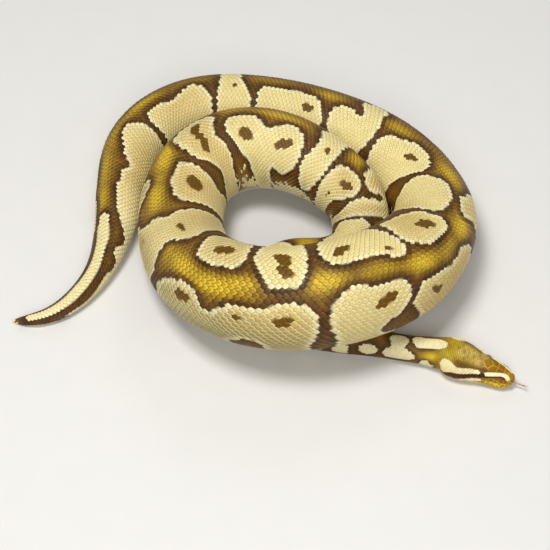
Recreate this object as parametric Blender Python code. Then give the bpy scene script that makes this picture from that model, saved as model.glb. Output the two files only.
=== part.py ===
"""Coiled ball python at life size, lying on the floor with its tongue out.

Metres, +Z up. The floor is z = 0 and the origin is on it, at the middle of
the coil's box. The body follows one smooth route from the tail's tip to the
back of the head: a large turn on the floor, a front coil lifted over the
neck, a second turn inside the first, and a forebody that dives into the
middle, turns round behind the front coil and comes out under it.
"""
import math

import bmesh
import bpy
import numpy as np
from mathutils import Matrix, Vector

MM = 0.001

# ---------------------------------------------------------------- body sizes
# The box of the whole animal is centred on the origin by this shift, in mm.
COIL_SHIFT = (-5.44, 29.55)
# Waypoints of the centre line in mm: x, y, how far the belly is off the
# floor, and the body's radius there.
TAIL_ROUTE = (
    (-170, -40, 0, 1.2), (-159, -41, 0, 3.8), (-147.6, -38.8, 0, 5.2),
    (-128.4, -24.4, 0, 7.3), (-114.6, -1.2, 0, 9.5), (-107, 28, 0, 13.6),
)
OUTER_ROUTE = (
    (-103, 66, 0, 17.6), (-93, 103, 0, 20.9), (-61, 129, 0, 23.0), (-16, 131.5, 0, 24.0),
    (31.5, 117, 0, 24.7), (74, 89, 0, 25.6), (98.5, 55, 0, 26.2),
)
FRONT_ROUTE = (
    (104, 15.5, 6.7, 27.9), (93, -12.5, 10.4, 30.8), (78, -33.5, 15.4, 32.4),
    (51, -53, 20.6, 33.2), (20, -62.5, 23, 32.8), (-10, -60.5, 22, 31.7), (-37, -43, 15, 30.3),
)
INNER_ROUTE = (
    (-54, -16, 5.5, 29), (-61.5, 14.5, 0, 28.4), (-60.5, 42, 1, 28.4), (-49.5, 66, 6, 28.4),
    (-28, 78, 10.8, 28.2), (3, 74, 16.9, 26.4), (34, 56.5, 17.4, 23.2),
)
FOREBODY_ROUTE = (
    (51.5, 39.5, 12.6, 20.8), (56, 20, 4.4, 18.6), (48.5, 5.5, 0, 17.2), (31, -0.5, 0, 15.8),
    (12, 0.5, 0, 14.8), (-4.5, -8, 0, 13.5), (-11.5, -24, 0, 12.2), (-6.5, -41, 0, 11.2),
)
NECK_ROUTE = (
    (9, -51.5, 0, 10.5), (38, -59.5, 0, 9.7), (66, -63.9, 0, 9.0), (87, -68.3, 0, 8.8),
    (97.5, -70.4, 0, 9.5), (106, -73, 0, 10.7),
)
ROUTE = TAIL_ROUTE + OUTER_ROUTE + FRONT_ROUTE + INNER_ROUTE + FOREBODY_ROUTE + NECK_ROUTE
# Where the body is parted by thin cuts, in mm along it from the tail's tip.
VENT = 123
TRUNK_CUTS = (VENT, 240, 350, 445, 535, 620, 700, 785, 865, 930, 990, 1045)

BELLY = 0.93           # depth of the flat belly below the centre line, in radii
SIDES = 18             # sides of the body's section
RING_STEP = 7.8 * MM   # longest step between two sections
SETTLE = 0.3 * MM      # a lift below this counts as lying on the floor
CUT = 0.3 * MM         # gap left by each cut, and between pieces that touch
TAIL_TIP_RADIUS = 0.7 * MM

# ---------------------------------------------------------------- head sizes
HEAD_YAW = math.radians(-23.5)
# Sections of the head in mm: distance from its back end, half width, height of
# the top, height of the widest point and height of the underside.
HEAD_SECTIONS = (
    (0, 10.7, 20.4, 9.95, 0.0),
    (5.3, 13.0, 20.3, 9.6, 0.0),
    (11.4, 13.5, 19.9, 9.0, 0.0),
    (18.5, 12.1, 19.0, 8.3, 0.0),
    (25.4, 9.9, 17.6, 7.6, 0.0),
    (31.6, 8.7, 15.9, 7.0, 0.1),
    (37.7, 8.0, 14.0, 6.4, 0.6),
    (42.8, 6.7, 12.1, 6.0, 1.4),
    (45.6, 4.5, 10.5, 6.1, 2.6),
)
HEAD_LENGTH = 48.2 * MM
HEAD_START = 3.0 * MM          # first section that is square to the head
HEAD_SIDES = 24
HEAD_RINGS = 16
SNOUT_STEPS = (0.45, 0.8, 0.97)   # rings round the snout, as shares of its depth
HEAD_SQUARE = 2.35     # exponent of the head's section: 2 is an ellipse

# The mouth line seen from the side, from the snout back to the jaw's corner.
MOUTH_LINE = ((52, 5.4), (44, 5.2), (35, 4.9), (27, 5.2), (18, 6.2), (9, 7.2))
JAW_BACK = 6.0 * MM    # where the jaw's underside ends, from the head's back

EYE_RADIUS = 2.7 * MM
EYE_AT = (28.5 * MM, 7.0 * MM, 11.3 * MM)   # along, out to the side, up
NOSTRIL_RADIUS = 0.6 * MM
NOSTRIL_AT = (44.2 * MM, 4.7 * MM, 9.4 * MM)

TONGUE_RADIUS = 0.5 * MM
TONGUE_SIDES = 8
TONGUE_ROOT = 44.0 * MM        # where it starts inside the lips
TONGUE_FORK = 53.0 * MM        # where its two tips part
TONGUE_REACH = 57.5 * MM
TONGUE_SPREAD = 1.3 * MM       # half the distance between the tips
TONGUE_HEIGHT = 5.3 * MM
TONGUE_DROOP = 1.5 * MM        # how far the tips hang below the root

SPUR_LENGTH = 4.6 * MM
SPUR_RADIUS = 1.1 * MM

# ------------------------------------------------------------------ colours
GOLD_BROWN = (0.24, 0.15, 0.035)
NECK_GOLD = (0.34, 0.22, 0.04)
CREAM = (0.62, 0.53, 0.33)
LIP_GOLD = (0.45, 0.36, 0.07)
TONGUE_PINK = (0.62, 0.42, 0.40)
EYE_DARK = (0.015, 0.011, 0.008)
SPUR_HORN = (0.50, 0.42, 0.28)


# ------------------------------------------------------------- scene helpers
def clear_scene():
    """Removes every object that the file opened with."""
    for obj in list(bpy.data.objects):
        bpy.data.objects.remove(obj, do_unlink=True)


def new_collection(name):
    collection = bpy.data.collections.new(name)
    bpy.context.scene.collection.children.link(collection)
    return collection


def material(name, colour, roughness):
    """A plain Principled finish in one colour."""
    made = bpy.data.materials.new(name)
    made.use_nodes = True
    shader = made.node_tree.nodes["Principled BSDF"]
    shader.inputs["Base Color"].default_value = (*colour, 1.0)
    shader.inputs["Roughness"].default_value = roughness
    shader.inputs["Metallic"].default_value = 0.0
    made.diffuse_color = (*colour, 1.0)
    return made


def object_from_bmesh(name, mesh_builder, collection, finish=None, smooth_deg=45):
    """Turns a finished bmesh into a named object with outward faces."""
    bmesh.ops.recalc_face_normals(mesh_builder, faces=mesh_builder.faces)
    mesh = bpy.data.meshes.new(name)
    mesh_builder.to_mesh(mesh)
    mesh_builder.free()
    obj = bpy.data.objects.new(name, mesh)
    collection.objects.link(obj)
    if finish is None:
        obj.hide_render = True
        obj.display_type = "WIRE"
    else:
        mesh.materials.append(finish)
        mesh.shade_smooth()
        mesh.set_sharp_from_angle(angle=math.radians(smooth_deg))
    return obj


def boolean(obj, cutter, operation="DIFFERENCE"):
    modifier = obj.modifiers.new(operation.lower(), "BOOLEAN")
    modifier.operation = operation
    modifier.solver = "EXACT"
    modifier.object = cutter


def loft(rings):
    """A closed skin over a list of rings with equal numbers of points."""
    builder = bmesh.new()
    rows = [[builder.verts.new(point) for point in ring] for ring in rings]
    sides = len(rows[0])
    for near, far in zip(rows, rows[1:]):
        for side in range(sides):
            after = (side + 1) % sides
            builder.faces.new((near[side], near[after], far[after], far[side]))
    builder.faces.new(list(reversed(rows[0])))
    builder.faces.new(rows[-1])
    return builder


# --------------------------------------------------------------- smooth lines
def natural_spline(knots, values):
    """The natural cubic spline through values at knots, as a function."""
    knots = np.asarray(knots, dtype=float)
    values = np.asarray(values, dtype=float)
    steps = np.diff(knots)
    slopes = np.diff(values, axis=0) / steps.reshape(-1, *([1] * (values.ndim - 1)))
    size = len(knots)
    matrix = np.eye(size)
    right = np.zeros_like(values)
    for i in range(1, size - 1):
        matrix[i, i - 1:i + 2] = steps[i - 1], 2 * (steps[i - 1] + steps[i]), steps[i]
        right[i] = 6 * (slopes[i] - slopes[i - 1])
    bends = np.linalg.solve(matrix, right)

    def spline(places):
        places = np.atleast_1d(np.asarray(places, dtype=float))
        span = np.clip(np.searchsorted(knots, places) - 1, 0, size - 2)
        step = steps[span]
        after = (places - knots[span]) / step
        before = 1 - after
        shape = (-1, *([1] * (values.ndim - 1)))
        weights = [part.reshape(shape) for part in (
            before, after, (before ** 3 - before) * step ** 2 / 6, (after ** 3 - after) * step ** 2 / 6)]
        corners = (values[span], values[span + 1], bends[span], bends[span + 1])
        return sum(weight * corner for weight, corner in zip(weights, corners))

    return spline


def section_angles(sides):
    """Angles round a section, with 0 on the left and a quarter turn at the top.

    They run over the back from the left edge of the flat belly to its right
    edge, and the last one is the middle of the belly.
    """
    edge = -math.asin(BELLY)
    steps = sides - 2
    over_the_back = [edge + (math.pi - 2 * edge) * step / steps for step in range(steps + 1)]
    return [*over_the_back, -math.pi / 2]


class BodyLine:
    """The animal's centre line, read by distance from the tail's tip."""

    def __init__(self, route):
        rows = np.array(route, dtype=float) * MM
        rows[:, :2] -= np.array(COIL_SHIFT) * MM
        centres = np.column_stack((rows[:, :2], rows[:, 2] + BELLY * rows[:, 3]))
        chords = np.linalg.norm(np.diff(centres, axis=0), axis=1)
        knots = np.concatenate(([0.0], np.cumsum(chords)))
        self.through = natural_spline(knots, rows)
        fine = np.linspace(0, knots[-1], 4000)
        runs = np.linalg.norm(np.diff(self.points(fine), axis=0), axis=1)
        self.fine_knots = fine
        self.fine_lengths = np.concatenate(([0.0], np.cumsum(runs)))
        self.length = self.fine_lengths[-1]

    def points(self, places):
        """Centre points at spline places; the belly never sinks below the floor."""
        rows = self.through(places)
        lift = np.maximum(rows[:, 2] - SETTLE, 0)
        return np.column_stack((rows[:, :2], lift + BELLY * rows[:, 3]))

    def at(self, distance):
        """Centre, side direction, up direction and radius at one distance."""
        step = 0.5 * MM
        reach = np.clip(np.array((distance - step, distance, distance + step)), 0, self.length)
        places = np.interp(reach, self.fine_lengths, self.fine_knots)
        before, centre, after = (Vector(point) for point in self.points(places))
        forward = (after - before).normalized()
        side = Vector((0, 0, 1)).cross(forward).normalized()
        up = forward.cross(side)
        radius = float(self.through(places[1:2])[0, 3])
        return centre, side, up, radius

    def ring(self, distance, ahead=0.0, radius=None, sides=SIDES):
        """One section of the body, round with a flat belly, moved ahead along it."""
        centre, side, up, own_radius = self.at(distance)
        centre = centre + side.cross(up) * ahead
        radius = own_radius if radius is None else radius
        return [centre + radius * (side * math.cos(angle) + up * max(math.sin(angle), -BELLY))
                for angle in section_angles(sides)]


# ------------------------------------------------------------------ the body
def body_length(name, line, start, end, collection, finish, first_ring=None):
    """One length of the body; a cut leaves half its gap on each side of its plane."""
    steps = max(2, math.ceil((end - start) / RING_STEP))
    distances = [start + (end - start) * step / steps for step in range(steps + 1)]
    rings = [line.ring(distance) for distance in distances[1:-1]]
    rings.insert(0, first_ring or line.ring(start, CUT / 2))
    rings.append(line.ring(end, -CUT / 2))
    return object_from_bmesh(name, loft(rings), collection, finish)


def make_body(line, collection, finishes):
    tip = line.ring(0.0, radius=TAIL_TIP_RADIUS)
    cuts = [cut * MM for cut in TRUNK_CUTS]
    body_length("tail", line, 0.0, cuts[0], collection, finishes["scales"], tip)
    for number, (start, end) in enumerate(zip(cuts, cuts[1:]), start=1):
        body_length(f"trunk_{number:02d}", line, start, end, collection, finishes["scales"])
    body_length("neck", line, cuts[-1], line.length, collection, finishes["neck"])


def make_spurs(line, collection, finish):
    """The two small claws beside the vent, pointing back along the tail."""
    centre, side, up, radius = line.at(VENT * MM)
    forward = side.cross(up)
    for name, sign in (("spur_left", 1), ("spur_right", -1)):
        builder = bmesh.new()
        bmesh.ops.create_cone(builder, cap_ends=True, segments=10, radius1=SPUR_RADIUS,
                              radius2=SPUR_RADIUS * 0.3, depth=SPUR_LENGTH)
        spur = object_from_bmesh(name, builder, collection, finish)
        out = radius * 0.915 + SPUR_RADIUS
        point_back = (-forward + side * sign * 0.25).normalized()
        spur.rotation_mode = "QUATERNION"
        spur.rotation_quaternion = point_back.to_track_quat("Z", "Y")
        spur.location = centre + side * sign * out - up * radius * 0.55


# ------------------------------------------------------------------ the head
def head_place(line):
    """The matrix of the head's own frame, +X to the snout and z from the floor."""
    centre, _, _, _ = line.at(line.length)
    return Matrix.Translation((centre.x, centre.y, 0)) @ Matrix.Rotation(HEAD_YAW, 4, "Z")


def head_rings(line, place):
    """Sections of the head in its own frame, from the neck's end to the snout."""
    rows = np.array(HEAD_SECTIONS) * MM
    profile = natural_spline(rows[:, 0], rows[:, 1:])
    to_head = place.inverted()
    rings = [[to_head @ point for point in line.ring(line.length, CUT / 2, sides=HEAD_SIDES)]]
    last = rows[-1, 0]
    for number in range(HEAD_RINGS):
        along = HEAD_START + (last - HEAD_START) * number / (HEAD_RINGS - 1)
        rings.append(head_ring(along, *profile(along)[0]))
    half_width, top, middle, bottom = profile(last)[0]
    for share in SNOUT_STEPS:
        shrink = math.sqrt(1 - share ** 2)
        along = last + (HEAD_LENGTH - last) * share
        rings.append(head_ring(along, half_width * shrink, middle + (top - middle) * shrink,
                               middle, middle + (bottom - middle) * shrink))
    return rings


def head_ring(along, half_width, top, middle, bottom):
    """One section across the head, flatter above and below than an ellipse."""
    power = 2 / HEAD_SQUARE
    points = []
    for angle in section_angles(HEAD_SIDES):
        sine, cosine = math.sin(angle), math.cos(angle)
        across = half_width * math.copysign(abs(cosine) ** power, cosine)
        reach = (top - middle) if sine > 0 else (middle - bottom)
        height = middle + reach * math.copysign(abs(sine) ** power, sine)
        points.append(Vector((along, across, height)))
    return points


def jaw_block(name, offset, collection):
    """A side-on slab below the mouth line, moved down and forward by offset."""
    outline = [((x * MM), (z * MM) - offset) for x, z in MOUTH_LINE]
    outline[-1] = (outline[-1][0] + offset, outline[-1][1])
    outline += [(JAW_BACK + offset, -5 * MM), (MOUTH_LINE[0][0] * MM, -5 * MM)]
    builder = bmesh.new()
    width = 25 * MM
    face = builder.faces.new([builder.verts.new((x, -width, z)) for x, z in outline])
    raised = bmesh.ops.extrude_face_region(builder, geom=[face])
    moved = [item for item in raised["geom"] if isinstance(item, bmesh.types.BMVert)]
    bmesh.ops.translate(builder, verts=moved, vec=(0, 2 * width, 0))
    return object_from_bmesh(name, builder, collection)


def sphere(name, radius, place, collection, finish=None, segments=16):
    builder = bmesh.new()
    bmesh.ops.create_uvsphere(builder, u_segments=segments, v_segments=segments * 5 // 8,
                              radius=radius)
    bmesh.ops.translate(builder, verts=builder.verts, vec=place)
    return object_from_bmesh(name, builder, collection, finish)


def tongue_path(sign):
    """Points of one half of the forked tongue, from the root to a tip."""
    points = []
    for step in range(13):
        along = TONGUE_ROOT + (TONGUE_REACH - TONGUE_ROOT) * step / 12
        out = max(0.0, (along - TONGUE_FORK) / (TONGUE_REACH - TONGUE_FORK))
        drop = ((along - TONGUE_ROOT) / (TONGUE_REACH - TONGUE_ROOT)) ** 2
        points.append((along, sign * TONGUE_SPREAD * out ** 1.3,
                       TONGUE_HEIGHT - TONGUE_DROOP * drop, 1 - 0.35 * drop))
    return points


def tube(name, path, radius, collection, finish=None):
    """A closed mesh tube along points that each hold their own thickness."""
    rings = []
    for number, (x, y, z, share) in enumerate(path):
        before = Vector(path[max(number - 1, 0)][:3])
        after = Vector(path[min(number + 1, len(path) - 1)][:3])
        forward = (after - before).normalized()
        side = Vector((0, 0, 1)).cross(forward).normalized()
        up = forward.cross(side)
        ring = []
        for turn in range(TONGUE_SIDES):
            angle = 2 * math.pi * turn / TONGUE_SIDES
            spoke = side * math.cos(angle) + up * math.sin(angle)
            ring.append(Vector((x, y, z)) + spoke * radius * share)
        rings.append(ring)
    return object_from_bmesh(name, loft(rings), collection, finish)


def make_head(line, collection, cutters, finishes):
    place = head_place(line)
    head = object_from_bmesh("head", loft(head_rings(line, place)), collection, finishes["neck"])
    jaw = object_from_bmesh("lower_jaw", loft(head_rings(line, place)), collection, finishes["lips"])
    made = [head, jaw]
    above = jaw_block("cut_above_jaw", -CUT / 2, cutters)
    below = jaw_block("keep_jaw", CUT / 2, cutters)
    boolean(head, above)
    boolean(jaw, below, "INTERSECT")
    made += [above, below]
    for side, sign in (("left", 1), ("right", -1)):
        along, out, up = EYE_AT
        where = (along, sign * out, up)
        eye = sphere(f"eye_{side}", EYE_RADIUS, where, collection, finishes["eye"])
        socket = sphere(f"socket_{side}", EYE_RADIUS + CUT, where, cutters)
        along, out, up = NOSTRIL_AT
        nostril = sphere(f"nostril_{side}", NOSTRIL_RADIUS, (along, sign * out, up), cutters,
                         segments=8)
        boolean(head, socket)
        boolean(head, nostril)
        made += [eye, socket, nostril]
    channel_path = [(x + (step - 6) * 0.2 * MM, 0.0, z, 1.0)
                    for step, (x, _, z, _) in enumerate(tongue_path(1)[:10])]
    channel = tube("tongue_channel", channel_path, TONGUE_RADIUS + CUT, cutters)
    boolean(head, channel)
    boolean(jaw, channel)
    tongue = tube("tongue", tongue_path(1), TONGUE_RADIUS, collection, finishes["tongue"])
    other = tube("tongue_other_half", tongue_path(-1), TONGUE_RADIUS, cutters)
    boolean(tongue, other, "UNION")
    made += [channel, tongue, other]
    for obj in made:
        obj.matrix_world = place


def make_finishes():
    return {
        "scales": material("scaled_body", GOLD_BROWN, 0.45),
        "neck": material("neck_and_head", NECK_GOLD, 0.42),
        "lips": material("lips", LIP_GOLD, 0.42),
        "eye": material("eye", EYE_DARK, 0.08),
        "tongue": material("tongue", TONGUE_PINK, 0.35),
        "spur": material("spur_horn", SPUR_HORN, 0.4),
    }


def main():
    clear_scene()
    collection = new_collection("coiled_ball_python")
    cutters = new_collection("cutters")
    finishes = make_finishes()
    line = BodyLine(ROUTE)
    make_body(line, collection, finishes)
    make_spurs(line, collection, finishes["spur"])
    make_head(line, collection, cutters, finishes)


main()
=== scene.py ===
"""The looks of a coiled ball python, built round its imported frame.

One skin runs from the tail's tip to the snout. Closed scales lie over it in
rows along the back, broad belly plates run beneath, and the head carries its
own plates. Lengths are in metres and angles in radians, unless a name or a
comment says otherwise. A place on the body is a distance along it from the
tail's tip and an angle round it: 0 is the top, and a positive angle is on the
outer side of the coil.
"""

import logging
import math
from collections.abc import Callable, Sequence
from dataclasses import dataclass, field, fields
from enum import IntEnum, StrEnum
from itertools import starmap
from typing import NamedTuple

import bpy
import numpy as np
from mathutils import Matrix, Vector

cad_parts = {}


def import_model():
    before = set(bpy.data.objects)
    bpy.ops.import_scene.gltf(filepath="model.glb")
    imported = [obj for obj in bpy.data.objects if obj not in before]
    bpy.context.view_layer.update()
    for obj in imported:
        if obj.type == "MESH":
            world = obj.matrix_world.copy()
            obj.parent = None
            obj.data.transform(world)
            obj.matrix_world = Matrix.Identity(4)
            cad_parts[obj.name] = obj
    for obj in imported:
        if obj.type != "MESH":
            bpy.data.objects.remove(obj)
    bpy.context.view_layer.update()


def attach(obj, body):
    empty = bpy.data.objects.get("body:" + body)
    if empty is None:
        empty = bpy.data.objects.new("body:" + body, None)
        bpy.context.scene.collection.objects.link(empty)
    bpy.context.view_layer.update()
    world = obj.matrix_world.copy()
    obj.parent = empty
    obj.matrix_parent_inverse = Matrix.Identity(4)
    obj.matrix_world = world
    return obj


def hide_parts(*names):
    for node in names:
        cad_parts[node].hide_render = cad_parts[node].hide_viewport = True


LOG = logging.getLogger("ball_python")
MM = 0.001
CM = 0.01
Array = np.ndarray
Values = dict[str, Array]
Triple = tuple[float, float, float]
Colour = Triple
Piece = bpy.types.Object
Material = bpy.types.Material
Socket = bpy.types.NodeSocket
Given = Socket | float | tuple

# Waypoints of the centre line in mm: x, y, how far the belly is off the
# floor, and the body's radius there, from the tail's tip to the head.
TAIL_ROUTE = (
    (-170, -40, 0, 1.2), (-159, -41, 0, 3.8), (-147.6, -38.8, 0, 5.2),
    (-128.4, -24.4, 0, 7.3), (-114.6, -1.2, 0, 9.5), (-107, 28, 0, 13.6),
)
OUTER_ROUTE = (
    (-103, 66, 0, 17.6), (-93, 103, 0, 20.9), (-61, 129, 0, 23.0), (-16, 131.5, 0, 24.0),
    (31.5, 117, 0, 24.7), (74, 89, 0, 25.6), (98.5, 55, 0, 26.2),
)
FRONT_ROUTE = (
    (104, 15.5, 6.7, 27.9), (93, -12.5, 10.4, 30.8), (78, -33.5, 15.4, 32.4),
    (51, -53, 20.6, 33.2), (20, -62.5, 23, 32.8), (-10, -60.5, 22, 31.7), (-37, -43, 15, 30.3),
)
INNER_ROUTE = (
    (-54, -16, 5.5, 29), (-61.5, 14.5, 0, 28.4), (-60.5, 42, 1, 28.4), (-49.5, 66, 6, 28.4),
    (-28, 78, 10.8, 28.2), (3, 74, 16.9, 26.4), (34, 56.5, 17.4, 23.2),
)
FOREBODY_ROUTE = (
    (51.5, 39.5, 12.6, 20.8), (56, 20, 4.4, 18.6), (48.5, 5.5, 0, 17.2), (31, -0.5, 0, 15.8),
    (12, 0.5, 0, 14.8), (-4.5, -8, 0, 13.5), (-11.5, -24, 0, 12.2), (-6.5, -41, 0, 11.2),
)
NECK_ROUTE = (
    (9, -51.5, 0, 10.5), (38, -59.5, 0, 9.7), (66, -63.9, 0, 9.0), (87, -68.3, 0, 8.8),
    (97.5, -70.4, 0, 9.5), (106, -73, 0, 10.7),
)
ROUTE = TAIL_ROUTE + OUTER_ROUTE + FRONT_ROUTE + INNER_ROUTE + FOREBODY_ROUTE + NECK_ROUTE
COIL_CENTRE = (-5.44, 29.55)

# Sections of the head in mm: distance from its back end, half width, height of
# the top, height of the widest point and height of the underside.
HEAD_SECTIONS = (
    (0, 10.7, 20.4, 9.95, 0.0), (5.3, 13.0, 20.3, 9.6, 0.0), (11.4, 13.5, 19.9, 9.0, 0.0),
    (18.5, 12.1, 19.0, 8.3, 0.0), (25.4, 9.9, 17.6, 7.6, 0.0), (31.6, 8.7, 15.9, 7.0, 0.1),
    (37.7, 8.0, 14.0, 6.4, 0.6), (42.8, 6.7, 12.1, 6.0, 1.4), (45.6, 4.5, 10.5, 6.1, 2.6),
)


def ease(low: float, high: float, value: Array) -> Array:
    """Rises smoothly from 0 at low to 1 at high."""
    share = np.clip((value - low) / (high - low), 0, 1)
    return share * share * (3 - 2 * share)


def bell(value: Array, width: float) -> Array:
    """Falls smoothly from 1 at 0 to nothing beyond two widths."""
    return np.exp(-(value / width) ** 2)


def ridge(away: Array, rise: float, middle: float, width: float) -> Array:
    """A soft ridge at some distance from something."""
    return rise * bell(away - middle, width)


def wrapped(angle: Array) -> Array:
    """Brings angles into the half turn on either side of 0."""
    return (angle + math.pi) % (2 * math.pi) - math.pi


def running(steps: Array) -> Array:
    """The running total of some steps, from 0."""
    return np.concatenate(([0.0], np.cumsum(steps)))


def unit(vectors: Array) -> Array:
    """Scales vectors to a length of one."""
    return vectors / np.maximum(np.linalg.norm(vectors, axis=-1, keepdims=True), 1e-12)


def read_table(table: Sequence, places: Array) -> Array:
    """Reads the values of a table at places between those of its rows."""
    rows = np.array(table, dtype=float)
    return np.interp(places, rows[:, 0], rows[:, 1])


def ring_quads(rings: int, columns: int, first: int = 0) -> Array:
    """Joins neighbouring rings of vertices by quads.

    Args:
        rings: How many rings there are.
        columns: How many vertices each has; it closes on itself.
        first: The number of the first ring's first vertex.

    Returns:
        Vertex numbers, a row for each quad.
    """
    here = first + np.arange(rings - 1)[:, None] * columns
    column = np.arange(columns)[None]
    after = (column + 1) % columns
    corners = (here + column, here + columns + column, here + columns + after, here + after)
    return np.stack(corners, 2).reshape(-1, 4)


def fan(middle: int, ring: Array) -> Array:
    """Triangles from one vertex to a closed ring of others."""
    return np.column_stack((np.full(len(ring), middle), ring, np.roll(ring, -1)))


def natural_spline(knots: Array, values: Array) -> Callable[[Array], Array]:
    """Makes the natural cubic spline through values at knots.

    Args:
        knots: Rising places, one for each row of values.
        values: Rows of numbers to pass through.

    Returns:
        A function from an array of places to rows of numbers.
    """
    steps = np.diff(knots)
    slopes = np.diff(values, axis=0) / steps[:, None]
    matrix = np.eye(len(knots))
    right = np.zeros_like(values)
    for i in range(1, len(knots) - 1):
        matrix[i, i - 1:i + 2] = steps[i - 1], 2 * (steps[i - 1] + steps[i]), steps[i]
        right[i] = 6 * (slopes[i] - slopes[i - 1])
    bends = np.linalg.solve(matrix, right)

    def spline(places: Array) -> Array:
        """Reads the spline.

        Args:
            places: Where to read it.

        Returns:
            A row of numbers for each place.
        """
        span = np.clip(np.searchsorted(knots, places) - 1, 0, len(knots) - 2)
        step = steps[span]
        after = (places - knots[span]) / step
        straight = (1 - after, after)
        parts = (*straight, *((share ** 3 - share) * step ** 2 / 6 for share in straight))
        corners = (values[span], values[span + 1], bends[span], bends[span + 1])
        return sum(part[:, None] * corner for part, corner in zip(parts, corners))

    return spline


class Frames(NamedTuple):
    """The body's own axes and radius at some distances along it."""

    centre: Array
    side: Array
    up: Array
    ahead: Array
    radius: Array


@dataclass
class BodyLine:
    """The animal's centre line, tabled by distance from the tail's tip."""

    route: Sequence = ROUTE
    coil_centre: Sequence = COIL_CENTRE
    belly: float = 0.93
    settle: float = 0.3 * MM
    tip_length: float = 7.7 * MM
    tip_thinning: float = 0.42
    step: float = 0.25 * MM
    smoothing: float = 9.0 * MM
    fine_count: int = 6000
    length: float = field(init=False)

    def __post_init__(self) -> None:
        """Tables the line at even steps along its length."""
        rows = np.array(self.route, dtype=float) * MM
        rows[:, :2] -= np.array(self.coil_centre) * MM
        heights = rows[:, 2] + self.belly * rows[:, 3]
        waypoints = np.column_stack((rows[:, :2], heights))
        knots = running(np.linalg.norm(np.diff(waypoints, axis=0), axis=1))
        fine = natural_spline(knots, rows)(np.linspace(0, knots[-1], self.fine_count))
        lift = np.maximum(fine[:, 2] - self.settle, 0)
        centres = np.column_stack((fine[:, :2], lift + self.belly * fine[:, 3]))
        runs = running(np.linalg.norm(np.diff(centres, axis=0), axis=1))
        self.length = float(runs[-1])
        self.distances = np.arange(0, self.length + self.step / 2, self.step)
        self.centres = np.column_stack([np.interp(self.distances, runs, column) for column in centres.T])
        reach = np.linspace(-1, 1, int(2 * self.smoothing / self.step) + 1)
        weight = (1 - reach ** 2) ** 2
        padded = np.pad(self.centres[:, 2], len(reach) // 2, mode="edge")
        self.centres[:, 2] = np.convolve(padded, weight / weight.sum(), mode="valid")
        self.radii = np.interp(self.distances, runs, fine[:, 3])
        tip = np.clip(1 - self.distances / self.tip_length, 0, 1)
        self.radii *= 1 - self.tip_thinning * tip ** 2
        self.aheads = unit(np.gradient(self.centres, axis=0))

    def at(self, distance: Array) -> Frames:
        """Reads the line.

        Args:
            distance: Distances from the tail's tip; beyond the ends the line runs on straight.

        Returns:
            The centre, side, up and ahead directions, and the radius.
        """
        beyond = distance - np.clip(distance, 0, self.length)
        read = [np.interp(distance, self.distances, column)
                for column in (*self.centres.T, *self.aheads.T, self.radii)]
        ahead = unit(np.column_stack(read[3:6]))
        centre = np.column_stack(read[:3]) + beyond[:, None] * ahead
        side = unit(np.cross((0.0, 0.0, 1.0), ahead))
        return Frames(centre, side, np.cross(ahead, side), ahead, read[6])


@dataclass
class HeadShape:
    """The head's outer shape, in its own frame and in the world."""

    line: BodyLine
    yaw: float = math.radians(-23.5)
    length: float = 48.2 * MM
    squareness: float = 2.35
    sections: Sequence = HEAD_SECTIONS

    def __post_init__(self) -> None:
        """Fits the spline through the sections and finds the head's place."""
        rows = np.array(self.sections, dtype=float) * MM
        self.last = rows[-1, 0]
        self.profile = natural_spline(rows[:, 0], rows[:, 1:])
        self.origin = self.line.at(np.array([self.line.length])).centre[0] * (1, 1, 0)
        turn, lean = math.cos(self.yaw), math.sin(self.yaw)
        self.axes = np.array(((turn, lean, 0), (-lean, turn, 0), (0, 0, 1)))

    def to_world(self, points: Array) -> Array:
        """Moves points from the head's own frame to the world."""
        return points @ self.axes + self.origin

    def sizes(self, along: Array) -> tuple[Array, Array, Array, Array]:
        """Reads the head's sections.

        Args:
            along: Distances from the back of the head.

        Returns:
            Half width, height of the top, of the widest point and of the underside.
        """
        half_width, top, middle, bottom = self.profile(np.minimum(along, self.last)).T
        share = np.clip((along - self.last) / (self.length - self.last), 0, 1)
        shrink = np.sqrt(1 - share ** 2)
        top, bottom = (middle + (height - middle) * shrink for height in (top, bottom))
        return half_width * shrink, top, middle, bottom

    def own_mm(self, along: Array, angle: Array) -> Array:
        """Points of the outer shape in mm, in the head's own frame, at mm along it."""
        return self.own_points(along * MM, angle) / MM

    def own_points(self, along: Array, angle: Array) -> Array:
        """Finds points of the outer shape.

        Args:
            along: Distances from the back of the head.
            angle: Angles from the top.

        Returns:
            One point for each pair, in the head's own frame.
        """
        half_width, top, middle, bottom = self.sizes(along)
        power = 2 / self.squareness
        across, rise = np.sin(angle), np.cos(angle)
        reach = np.where(rise > 0, top - middle, middle - bottom)
        return np.column_stack((along, half_width * np.sign(across) * np.abs(across) ** power,
                                middle + reach * np.sign(rise) * np.abs(rise) ** power))

    def angle_at_height(self, along: Array, height: Array) -> Array:
        """Finds where the left side of the head is at some heights.

        Args:
            along: Millimetres from the back of the head.
            height: Heights in mm.

        Returns:
            The angle from the top of each place.
        """
        _, top, middle, bottom = self.sizes(along * MM)
        rise = height * MM - middle
        reach = np.where(rise > 0, top - middle, middle - bottom)
        share = np.clip(np.abs(rise) / np.maximum(reach, 1e-6), 0, 1) ** (self.squareness / 2)
        return math.pi / 2 - np.sign(rise) * np.arcsin(share)


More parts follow.
